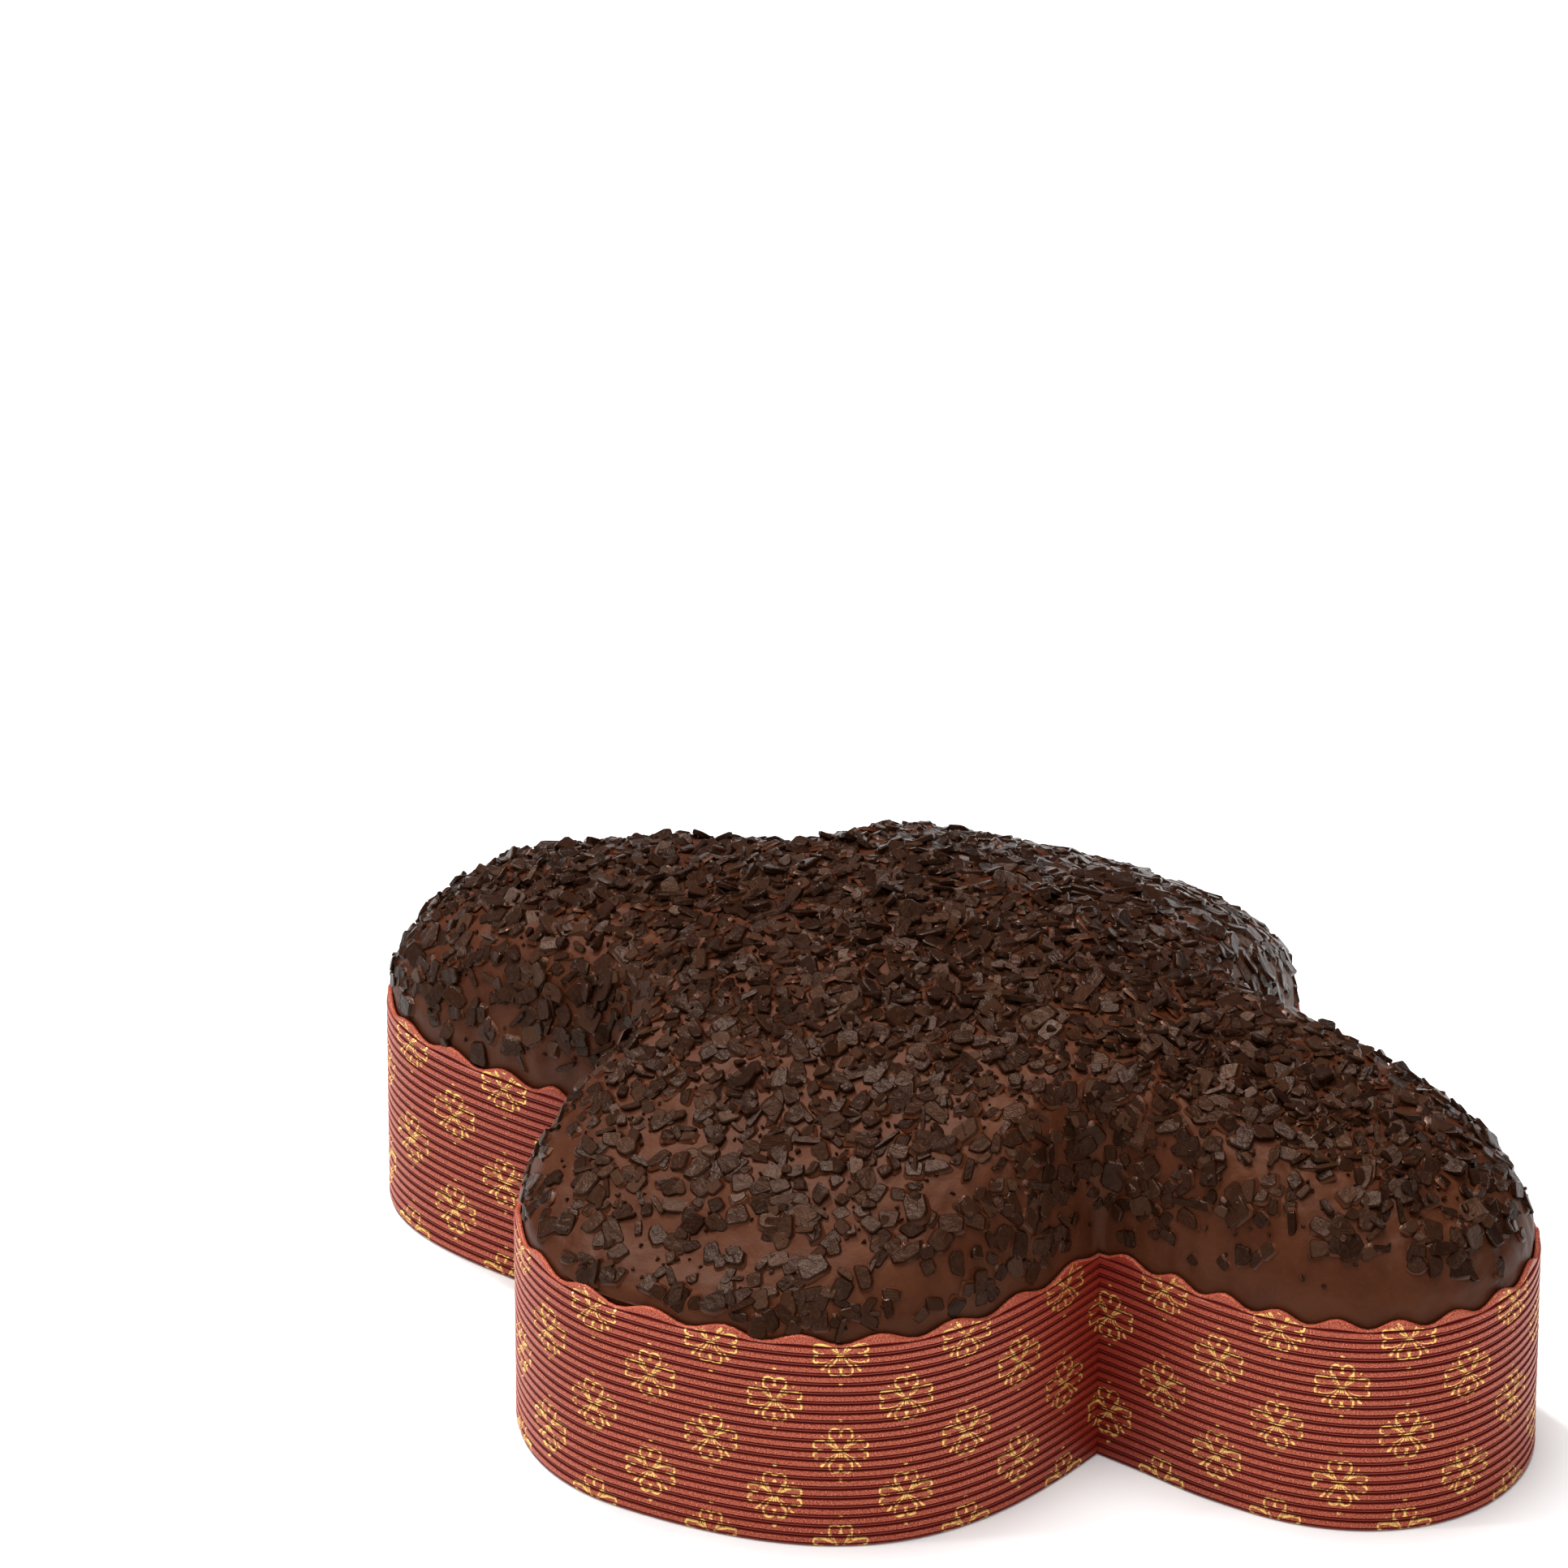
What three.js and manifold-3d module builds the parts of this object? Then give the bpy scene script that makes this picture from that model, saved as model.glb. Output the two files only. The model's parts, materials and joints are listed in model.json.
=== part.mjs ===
// Colomba, the dove-shaped Easter bread, coated in dark chocolate with chocolate chips and
// standing in its own ribbed paper case. Millimetres, +Z up. The origin is on the table under
// the middle of the bread, the head points along +X and the wings along +Y and -Y.
import * as THREE from "three";
import { MeshSurfaceSampler } from "three/addons/math/MeshSurfaceSampler.js";
import { mergeVertices } from "three/addons/utils/BufferGeometryUtils.js";
import Module from "manifold-3d";

// Plan of the dove: one half, which the other half mirrors across the X axis
const headTipX = 141;
const headWideX = 95;
const headHalfWidth = 39.5;
const headRoundness = 0.58;
const neckX = 56;
const neckY = 36;
const neckBulge = 0.61;
const wingTipX = -25;
const wingTipY = 107.5;
const wingFrontRoundness = 0.82;
const wingFrontLean = 5;
const wingRearX = -69;
const wingRearY = 66;
const wingRearRoundness = 0.55;
const tailFoldX = -65;
const tailFoldY = 41;
const tailWideX = -87;
const tailHalfWidth = 40.5;
const tailTipX = -141;
const tailTaper = 2;
const tailRoundness = 0.72;

// Steps along each arc of that half, and the stations along the back that the arcs' ends look to
const arcSteps = [5, 3, 7, 4, 2, 2, 5];
const fineArcSteps = [30, 18, 40, 28, 12, 10, 34];
const backStations = [127, 91, 47, -5, -35, -51, -81, -127];

// Paper case
const caseHeight = 54.2;
const ribCount = 21;
const ribPitch = 2.45;
const ribDepth = 0.8;
const caseWall = 1.5;
const caseFloor = 0.8;
const rimLip = 0.4;
const scallopRise = [0, 0.75, 1, 0.75];

// Bread and coating: the coating's edge is tucked into the case, and its side swells out over the rim
const gap = 0.3;
const crownGap = 0.4;
const coatingThickness = 3.2;
const skirtDepth = 5.7;
const bulgeRise = 1.6;
const shoulderRise = 3.6;
const shoulderInset = 1;
const upperSideInset = 2.2;
const edgeInset = 5;
const crownInset = 9;
const slopeShares = [0.25, 0.5, 0.75];

// Crown: how high it rises, how it falls towards the lobes' ends, and the low swells on it
const sideRise = 5.5;
const sideSoftness = 1.2;
const crownHeight = 39.5;
const crownFallLength = 0.7;
const crownFallWidth = 1.15;
const crownReach = 24;
const crownRoundness = 2.5;
const swellHeight = 0.7;
const swellLength = 26;
const swellPhase = 1;

// Chocolate chips, fused to the coating
const chipCount = 169;
const chipSeed = 7;
const chipChoices = 14;
const chipRadius = { least: 2.5, most: 3.9 };
const chipCornerReach = { least: 0.8, most: 1 };
const chipSlimness = { least: 0.7, most: 1 };
const chipCornerShift = 0.5;
const chipThickness = 1.7;
const chipSink = 0.6;
const chipTilt = { least: -0.2, most: 0.2 };
const mostChipCorners = 5;

// Colours
const chocolateColour = 0x35201a;
const crustColour = 0xb8762e;
const paperColour = 0x8c3d36;

const halfCurves = planCurves();
const outline = closedOutline(arcSteps);
const fineOutline = closedOutline(fineArcSteps);
const backLine = closedBackLine();

// The seven arcs of one half, from the tip of the head to the tip of the tail
function planCurves() {
  const neckLead = headWideX - neckX;
  const wingSpan = wingTipY - neckY;
  const rearDrop = wingRearY - tailFoldY;
  const tailLead = tailWideX - tailFoldX;
  const tailLength = tailTipX - tailWideX;
  return [
    arc([headTipX, 0], [headTipX, headRoundness * headHalfWidth],
      [headWideX + headRoundness * (headTipX - headWideX), headHalfWidth], [headWideX, headHalfWidth]),
    arc([headWideX, headHalfWidth], [headWideX - neckLead / 2, headHalfWidth],
      [neckX + neckBulge * neckLead, neckY + neckBulge * (headHalfWidth - neckY)], [neckX, neckY]),
    arc([neckX, neckY], [neckX - wingFrontLean, neckY + wingSpan / 2],
      [wingTipX + wingFrontRoundness * (neckX - wingTipX), wingTipY], [wingTipX, wingTipY]),
    arc([wingTipX, wingTipY], [wingTipX + wingRearRoundness * (wingRearX - wingTipX), wingTipY],
      [wingRearX, wingRearY + wingRearRoundness * (wingTipY - wingRearY)], [wingRearX, wingRearY]),
    arc([wingRearX, wingRearY], [wingRearX, wingRearY - rearDrop / 2],
      [tailFoldX, tailFoldY + rearDrop / 3], [tailFoldX, tailFoldY]),
    arc([tailFoldX, tailFoldY], [tailFoldX + tailLead / 3, tailFoldY],
      [tailWideX - tailLead / 3, tailHalfWidth], [tailWideX, tailHalfWidth]),
    arc([tailWideX, tailHalfWidth], [tailWideX + tailRoundness * tailLength, tailHalfWidth - tailTaper],
      [tailTipX, tailRoundness * tailHalfWidth], [tailTipX, 0]),
  ];
}

function arc(...corners) {
  return new THREE.CubicBezierCurve(...corners.map(([x, y]) => new THREE.Vector2(x, y)));
}

// The whole outline, anticlockwise from the tip of the head, with the steps given for each arc
function closedOutline(steps) {
  const half = halfCurves.flatMap((curve, i) => curve.getSpacedPoints(steps[i]).slice(0, -1));
  return mirrored([...half, new THREE.Vector2(tailTipX, 0)]);
}

// The middle line of the back, which runs there and back again, one point for each of the outline
function closedBackLine() {
  const half = arcSteps.flatMap((steps, i) => {
    const start = new THREE.Vector2(backStations[i], 0);
    const end = new THREE.Vector2(backStations[i + 1], 0);
    return new THREE.LineCurve(start, end).getSpacedPoints(steps).slice(0, -1);
  });
  return mirrored([...half, new THREE.Vector2(backStations.at(-1), 0)]);
}

// A half and its reflection in the X axis, without a second copy of the two ends
function mirrored(half) {
  const reflection = half.slice(1, -1).reverse().map((point) => new THREE.Vector2(point.x, -point.y));
  return [...half, ...reflection];
}

// The outline moved inwards, with mitred corners at the folds
function insetOutline(distance) {
  return outline.map((point, i) => {
    const before = outline.at(i - 1);
    const after = outline[(i + 1) % outline.length];
    const mitre = inward(before, point).add(inward(point, after));
    return point.clone().addScaledVector(mitre, (2 * distance) / mitre.lengthSq());
  });
}

function inward(start, end) {
  const along = end.clone().sub(start).normalize();
  return new THREE.Vector2(-along.y, along.x);
}

// A smooth distance to the wall: it grows from 0 at the wall and blends from lobe to lobe.
// Each short stretch of wall pulls with its length over the cube of its distance, and the sum of
// the pulls of a straight wall is 2 over the square of the distance to it.
function depthInside(x, y) {
  let pull = 0;
  fineOutline.forEach((start, i) => {
    const end = fineOutline[(i + 1) % fineOutline.length];
    const middleX = (start.x + end.x) / 2 - x;
    const middleY = (start.y + end.y) / 2 - y;
    pull += start.distanceTo(end) / Math.hypot(middleX, middleY) ** 3;
  });
  return Math.sqrt(2 / pull);
}

// Height of the coating over the table
function domeHeight(x, y) {
  const depth = depthInside(x, y);
  const lengthFall = crownFallLength * (x / headTipX) ** 2;
  const widthFall = crownFallWidth * (y / wingTipY) ** 2;
  const edge = 1 - (1 - Math.min(depth / crownReach, 1)) ** crownRoundness;
  const crown = crownHeight * (1 - lengthFall - widthFall) * edge;
  const side = sideRise * (1 - Math.exp(-depth / sideSoftness));
  const swell = swellHeight * Math.sin(x / swellLength) * Math.cos(y / swellLength + swellPhase);
  return caseHeight + side + crown + swell * edge;
}

function levelRing(points, z) {
  return points.map((point) => new THREE.Vector3(point.x, point.y, z));
}

function domeRing(points) {
  return points.map((point) => new THREE.Vector3(point.x, point.y, domeHeight(point.x, point.y)));
}

// A closed solid from rings that each have the same number of points, a multiple or one.
// They run from the bottom up the outside, or else from the top down it.
function solidFromRings(rings, fromTop = false) {
  const points = rings.flat();
  const faces = [];
  let first = 0;
  const indexes = rings.map((ring) => {
    const numbers = ring.map((_, i) => first + i);
    first += ring.length;
    return numbers;
  });
  for (let i = 0; i + 1 < rings.length; i++) {
    const [lower, upper] = [indexes[i], indexes[i + 1]];
    if (lower.length === upper.length) {
      faces.push(...joinEqual(points, lower, upper));
    } else if (lower.length < upper.length) {
      faces.push(...joinFan(lower, upper));
    } else {
      faces.push(...joinFan(upper, lower).map(turnedOver));
    }
  }
  const outward = fromTop ? faces.map(turnedOver) : faces;
  return geometryFrom(points.flatMap((point) => point.toArray()), outward.flat());
}

function turnedOver([a, b, c]) {
  return [a, c, b];
}

// The triangles between rings with as many points, each four split along their shorter diagonal
function joinEqual(points, lower, upper) {
  return lower.flatMap((a, i) => {
    const next = (i + 1) % lower.length;
    const [b, c, d] = [lower[next], upper[next], upper[i]];
    const rising = points[a].distanceTo(points[c]) < points[b].distanceTo(points[d]);
    return rising ? [[a, b, c], [a, c, d]] : [[a, b, d], [b, c, d]];
  });
}

// The triangles between a ring, or a single point, and a ring with several times as many points
function joinFan(coarse, fine) {
  const share = fine.length / coarse.length;
  const turn = Math.ceil(share / 2);
  const faces = [];
  coarse.forEach((here, i) => {
    const next = coarse[(i + 1) % coarse.length];
    for (let k = 0; k < share; k++) {
      const start = i * share + k;
      faces.push([k < turn ? here : next, fine[(start + 1) % fine.length], fine[start]]);
    }
    if (coarse.length > 1) {
      faces.push([here, next, fine[(i * share + turn) % fine.length]]);
    }
  });
  return faces;
}

function geometryFrom(positions, index) {
  const geometry = new THREE.BufferGeometry();
  geometry.setAttribute("position", new THREE.Float32BufferAttribute(positions, 3));
  geometry.setIndex(index);
  geometry.computeVertexNormals();
  return geometry;
}

// Ribbed wall, scalloped rim and flat floor of the paper case
function caseGeometry() {
  const groove = insetOutline(ribDepth);
  const inner = insetOutline(caseWall);
  const ribs = [];
  for (let i = 0; i < ribCount; i++) {
    ribs.push(levelRing(groove, i * ribPitch));
    ribs.push(levelRing(outline, (i + 0.5) * ribPitch));
  }
  const ribTop = ribCount * ribPitch;
  return solidFromRings([
    [new THREE.Vector3(0, 0, 0)],
    ...ribs,
    levelRing(groove, ribTop),
    scallopedRing(insetOutline(rimLip), ribTop),
    scallopedRing(inner, ribTop),
    levelRing(inner, ribTop),
    levelRing(inner, caseFloor),
    [new THREE.Vector3(0, 0, caseFloor)],
  ]);
}

// One scallop of the rim on each side of the outline
function scallopedRing(points, ribTop) {
  const low = ribTop + rimLip;
  return points.flatMap((point, i) => {
    const next = points[(i + 1) % points.length];
    return scallopRise.map((rise, k) => {
      const place = point.clone().lerp(next, k / scallopRise.length);
      return new THREE.Vector3(place.x, place.y, low + rise * (caseHeight - low));
    });
  });
}

// The outside of the coating, from the edge tucked into the case up to the line of the back
function coatingRings() {
  const tucked = insetOutline(caseWall + gap);
  const crown = insetOutline(crownInset);
  const [slope, upperSlope, flank] = slopeShares.map((share) => {
    return domeRing(crown.map((point, i) => point.clone().lerp(backLine[i], share)));
  });
  return {
    skirt: levelRing(tucked, caseHeight - skirtDepth),
    rim: levelRing(tucked, caseHeight + gap),
    bulge: levelRing(insetOutline(rimLip), caseHeight + bulgeRise),
    shoulder: levelRing(insetOutline(shoulderInset), caseHeight + shoulderRise),
    upperSide: domeRing(insetOutline(upperSideInset)),
    edge: domeRing(insetOutline(edgeInset)),
    crown: domeRing(crown),
    slope,
    upperSlope,
    flank,
    back: domeRing(backLine),
  };
}

// The underside of the coating from the back down to its edge: parallel to the outside, with fewer rings
function undersideRings(rings) {
  const surface = solidFromRings(Object.values(rings));
  const normals = surface.getAttribute("normal");
  let first = 0;
  const lowered = {};
  for (const [name, ring] of Object.entries(rings)) {
    lowered[name] = ring.map((point, i) => {
      const normal = new THREE.Vector3().fromBufferAttribute(normals, first + i);
      return point.clone().addScaledVector(normal, -coatingThickness);
    });
    first += ring.length;
  }
  const back = movedDown(rings.back, coatingThickness);
  const skirt = levelRing(insetOutline(caseWall + gap + coatingThickness), caseHeight - skirtDepth);
  return [back, lowered.upperSlope, lowered.crown, lowered.edge, skirt];
}

function movedDown(ring, drop) {
  return ring.map((point) => new THREE.Vector3(point.x, point.y, point.z - drop));
}

// A cap of even thickness over the bread
function coatingShell(rings) {
  return solidFromRings([...undersideRings(rings), ...Object.values(rings)]);
}

// The baked bread, which fills the case and rises into the coating
function breadGeometry(rings) {
  const bottom = caseFloor + gap;
  const ledge = caseHeight - skirtDepth - gap;
  const wall = insetOutline(caseWall + gap);
  const step = insetOutline(caseWall + coatingThickness + 2 * gap);
  const top = undersideRings(rings).slice(0, -1).map((ring) => movedDown(ring, crownGap));
  const sides = [levelRing(step, ledge), levelRing(wall, ledge), levelRing(wall, bottom)];
  return solidFromRings([...top, ...sides, [new THREE.Vector3(0, 0, bottom)]], true);
}

// Numbers from 0 to 1 that are the same on every run, by a linear congruence
function seededRandom(seed) {
  const multiplier = 1664525;
  const increment = 1013904223;
  const modulus = 2 ** 32;
  let state = seed;
  return () => {
    state = (state * multiplier + increment) % modulus;
    return state / modulus;
  };
}

function between(range, random) {
  return range.least + (range.most - range.least) * random();
}

// An angular plate of chocolate with four or five corners, its underside at z = 0
function chipGeometry(random, radius) {
  const corners = mostChipCorners - Math.round(random());
  const slimness = between(chipSlimness, random);
  const shape = new THREE.Shape();
  for (let i = 0; i < corners; i++) {
    const angle = ((i + chipCornerShift * random()) / corners) * 2 * Math.PI;
    const reach = radius * between(chipCornerReach, random);
    const corner = [reach * Math.cos(angle), slimness * reach * Math.sin(angle)];
    if (i === 0) {
      shape.moveTo(...corner);
    } else {
      shape.lineTo(...corner);
    }
  }
  return new THREE.ExtrudeGeometry(shape, { depth: chipThickness, bevelEnabled: false });
}

// Places spread evenly over the crown: each new one is the choice furthest from those before it
function chipPlaces(rings, random) {
  const { edge, crown, slope, upperSlope, flank, back } = rings;
  const surface = solidFromRings([edge, crown, slope, upperSlope, flank, back]);
  const sampler = new MeshSurfaceSampler(new THREE.Mesh(surface)).setRandomGenerator(random).build();
  const places = [];
  for (let i = 0; i < chipCount; i++) {
    let best = null;
    for (let k = 0; k < chipChoices; k++) {
      const place = { position: new THREE.Vector3(), normal: new THREE.Vector3() };
      sampler.sample(place.position, place.normal);
      place.room = Math.min(...places.map((other) => other.position.distanceTo(place.position)));
      if (best === null || place.room > best.room) {
        best = place;
      }
    }
    places.push(best);
  }
  return places;
}

// A chip laid on the coating at a place, turned at random, tilted and partly sunk
function placedChip(place, random, radius) {
  const lean = [between(chipTilt, random), between(chipTilt, random)];
  const tilt = new THREE.Euler(...lean, 2 * Math.PI * random());
  const upright = new THREE.Vector3(0, 0, 1);
  const chip = chipGeometry(random, radius);
  chip.translate(0, 0, -chipSink);
  chip.applyQuaternion(new THREE.Quaternion().setFromEuler(tilt));
  chip.applyQuaternion(new THREE.Quaternion().setFromUnitVectors(upright, place.normal));
  chip.translate(place.position.x, place.position.y, place.position.z);
  return chip;
}

// The coating with its chips fused on, the largest first
function coatingGeometry(wasm, rings) {
  const random = seededRandom(chipSeed);
  let coating = toSolid(wasm, coatingShell(rings));
  chipPlaces(rings, random).forEach((place, i) => {
    const radius = THREE.MathUtils.mapLinear(i, 0, chipCount, chipRadius.most, chipRadius.least);
    coating = coating.add(toSolid(wasm, placedChip(place, random, radius)));
  });
  return fromSolid(coating);
}

function toSolid(wasm, geometry) {
  const bare = geometry.clone();
  bare.deleteAttribute("normal");
  bare.deleteAttribute("uv");
  const merged = mergeVertices(bare, 1e-4);
  return new wasm.Manifold(new wasm.Mesh({
    numProp: 3,
    vertProperties: new Float32Array(merged.getAttribute("position").array),
    triVerts: new Uint32Array(merged.getIndex().array),
  }));
}

function fromSolid(solid) {
  const mesh = solid.getMesh();
  return geometryFrom(Array.from(mesh.vertProperties), Array.from(mesh.triVerts));
}

function namedMesh(name, geometry, settings) {
  const mesh = new THREE.Mesh(geometry, new THREE.MeshStandardMaterial(settings));
  mesh.name = name;
  return mesh;
}

function paperCase() {
  return namedMesh("paper_case", caseGeometry(), { color: paperColour, roughness: 0.5, metalness: 0.2 });
}

function bread(rings) {
  return namedMesh("bread", breadGeometry(rings), { color: crustColour, roughness: 0.9, metalness: 0 });
}

function chocolateCoating(wasm, rings) {
  const geometry = coatingGeometry(wasm, rings);
  return namedMesh("chocolate_coating", geometry, { color: chocolateColour, roughness: 0.4, metalness: 0 });
}

const wasm = await Module();
wasm.setup();
const rings = coatingRings();
const colomba = new THREE.Group();
colomba.add(paperCase(), bread(rings), chocolateCoating(wasm, rings));

export default colomba;
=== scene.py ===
"""Colomba, the dove-shaped Easter bread, dressed around its packed model.

The ribbed paper case, the chocolate glaze, the chips and crumbs that cover it, the baked crust under
it, and the studio with its camera. Metres, +Z up, the head along +X and the wings along +Y and -Y.
"""

import json
import math
from dataclasses import dataclass
from functools import partialmethod

import bpy
import numpy as np
from bpy.props import FloatProperty, FloatVectorProperty, IntProperty, PointerProperty
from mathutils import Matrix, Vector

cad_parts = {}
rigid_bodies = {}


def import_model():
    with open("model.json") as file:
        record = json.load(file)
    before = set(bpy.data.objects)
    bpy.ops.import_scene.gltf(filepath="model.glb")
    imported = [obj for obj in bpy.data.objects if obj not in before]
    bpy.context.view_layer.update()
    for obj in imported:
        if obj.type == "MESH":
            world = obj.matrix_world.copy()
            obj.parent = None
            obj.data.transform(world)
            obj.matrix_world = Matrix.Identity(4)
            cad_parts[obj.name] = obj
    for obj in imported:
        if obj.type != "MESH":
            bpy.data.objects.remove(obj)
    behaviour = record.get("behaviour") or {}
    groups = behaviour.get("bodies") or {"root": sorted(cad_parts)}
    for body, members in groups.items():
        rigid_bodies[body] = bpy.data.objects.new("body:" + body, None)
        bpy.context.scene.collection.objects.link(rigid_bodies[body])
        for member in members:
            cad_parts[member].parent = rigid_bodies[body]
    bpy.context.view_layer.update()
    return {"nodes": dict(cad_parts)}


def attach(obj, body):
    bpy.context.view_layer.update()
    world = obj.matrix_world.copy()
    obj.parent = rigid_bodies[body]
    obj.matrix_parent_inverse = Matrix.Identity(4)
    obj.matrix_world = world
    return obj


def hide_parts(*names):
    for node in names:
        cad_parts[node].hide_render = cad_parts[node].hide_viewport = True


bl_info = {
    "name": "Colomba Easter Bread",
    "version": (1, 0, 0),
    "blender": (4, 5, 0),
    "location": "3D View > Sidebar > Colomba",
    "description": "Paper case, chocolate glaze, chips and studio for a dove-shaped Easter bread",
    "category": "Object",
}

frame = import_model()

MM = 0.001

# Steps along each arc of half the outline, from the head to the tail, and the stations along the
# back, as shares of the head's reach, that the ends of the arcs look to
ARC_STEPS = (5, 3, 7, 4, 2, 2, 5)
BACK_STATIONS = (0.901, 0.645, 0.333, -0.035, -0.248, -0.362, -0.574, -0.901)
CASE_COLUMNS_PER_STEP = 8
GLAZE_COLUMNS_PER_STEP = 11

# How deep the wall lies at shares of one rib, from groove to groove: a thin ridge and a broad one
RIB_PROFILE = (
    (0.0, 1.0),
    (0.07, 0.92),
    (0.13, 0.36),
    (0.24, 0.32),
    (0.31, 0.68),
    (0.37, 0.55),
    (0.45, 0.06),
    (0.66, 0.0),
    (0.89, 0.1),
)


def length(name, description, default):
    return FloatProperty(
        name=name, description=description, default=default, unit="LENGTH", subtype="DISTANCE", precision=5
    )


def share(name, description, default, most=1.0):
    return FloatProperty(name=name, description=description, default=default, min=0.0, max=most)


def angle(name, description, degrees):
    return FloatProperty(
        name=name, description=description, default=math.radians(degrees), unit="ROTATION", subtype="ANGLE"
    )


def amount(name, description, default, least=0.0):
    return FloatProperty(name=name, description=description, default=default, min=least)


def count(name, description, default, least=1):
    return IntProperty(name=name, description=description, default=default, min=least)


def colour(name, description, default):
    return FloatVectorProperty(
        name=name, description=description, default=default, size=3, min=0.0, max=1.0, subtype="COLOR"
    )


class PlanSettings(bpy.types.PropertyGroup):
    """Plan of the dove: one half, which the other half mirrors across the X axis"""

    head_tip_x: length("Head Tip", "Reach of the head", 0.141)
    head_wide_x: length("Head Widest Place", "Where the head is widest", 0.095)
    head_half_width: length("Head Half Width", "Half the width of the head", 0.0395)
    head_roundness: share("Head Roundness", "Fullness of the end of the head", 0.58)
    neck_x: length("Neck Fold Place", "Where the neck is folded", 0.056)
    neck_y: length("Neck Fold Half Width", "Half the width at the neck's fold", 0.036)
    neck_bulge: share("Neck Bulge", "Fullness between the head and the neck", 0.61)
    wing_tip_x: length("Wing Tip Place", "Where the wings reach furthest", -0.025)
    wing_tip_y: length("Wing Reach", "Reach of each wing", 0.1075)
    wing_front_roundness: share("Wing Front Roundness", "Fullness of the wing towards the head", 0.82)
    wing_front_lean: length("Wing Front Lean", "Lean of the wing's front at the fold", 0.005)
    wing_rear_x: length("Wing Rear Place", "Where the back of the wing turns in", -0.069)
    wing_rear_y: length("Wing Rear Half Width", "Half the width where the wing turns in", 0.066)
    wing_rear_roundness: share("Wing Rear Roundness", "Fullness of the wing towards the tail", 0.55)
    tail_fold_x: length("Tail Fold Place", "Where the tail is folded", -0.065)
    tail_fold_y: length("Tail Fold Half Width", "Half the width at the tail's fold", 0.041)
    tail_wide_x: length("Tail Widest Place", "Where the tail is widest", -0.087)
    tail_half_width: length("Tail Half Width", "Half the width of the tail", 0.0405)
    tail_tip_x: length("Tail Tip", "Reach of the tail", -0.141)
    tail_taper: length("Tail Taper", "How much the tail narrows to its end", 0.002)
    tail_roundness: share("Tail Roundness", "Fullness of the end of the tail", 0.72)


class CaseSettings(bpy.types.PropertyGroup):
    """Paper case"""

    rib_count: count("Ribs", "Number of ribs up the wall", 21)
    rib_pitch: length("Rib Pitch", "Height of one rib", 0.00245)
    rib_depth: length("Rib Depth", "Depth of the groove between ribs", 0.0008)
    rib_waver: length("Rib Waver", "How far the ribs stray from a level line", 0.00018)
    wall: length("Wall", "Thickness of the wall", 0.0015)
    floor: length("Floor", "Thickness of the floor", 0.0008)
    height: length("Height", "Height of the rim's scallops", 0.0542)
    rim_inset: length("Rim Inset", "How far the rim lies behind the ribs", 0.0004)
    rim_rounding: length("Rim Rounding", "Rounding of the rim's edge", 0.00025)
    ornament_columns: count("Ornament Columns", "Columns of gold ornaments round the case", 58, 2)
    ornament_rise: length("Ornament Pitch", "Height from one ornament to the next in a column", 0.025)
    ornament_shift: share("Ornament Shift", "Columns that the ornaments are moved along by", 1.67, 2.0)
    ornament_width: share("Ornament Width", "Stretch of an ornament along the wall", 0.93, 2.0)
    ornament_height: share("Ornament Height", "Stretch of an ornament up the wall", 1.12, 2.0)
    paper: colour("Paper", "Colour of the paper on its ribs", (0.27, 0.023, 0.008))
    # Painted reflection: the narrow ridges are tinted a darker mauve that stands in for the pale floor's
    # reflection on their lower faces
    paper_ridge_reflection: colour("Paper Ridge", "Colour of the paper on the narrow ridges", (0.22, 0.022, 0.014))
    paper_shade: colour("Paper Shade", "Colour of the paper in its grooves", (0.10, 0.002, 0.001))
    # Partly painted highlight: the raised fibres are real grain, and this bright colour paints the glints of
    # light on them
    paper_glint: colour("Paper Glint", "Colour of the raised fibres", (0.72, 0.21, 0.12))
    # Painted shade: the paper beside each fold of the case is darkened towards the next colour, over the
    # reach after it
    paper_fold_shade: colour("Painted Fold Shade", "Colour of the paper next to a fold", (0.15, 0.005, 0.002))
    fold_shade_reach: length("Crease Reach", "How far the paper is darker beside a fold", 0.02)
    sheen: colour("Sheen", "Tint of the light that the paper throws back", (1.0, 0.62, 0.50))
    gold: colour("Gold", "Colour of the printed ornaments", (0.82, 0.55, 0.16))


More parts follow.
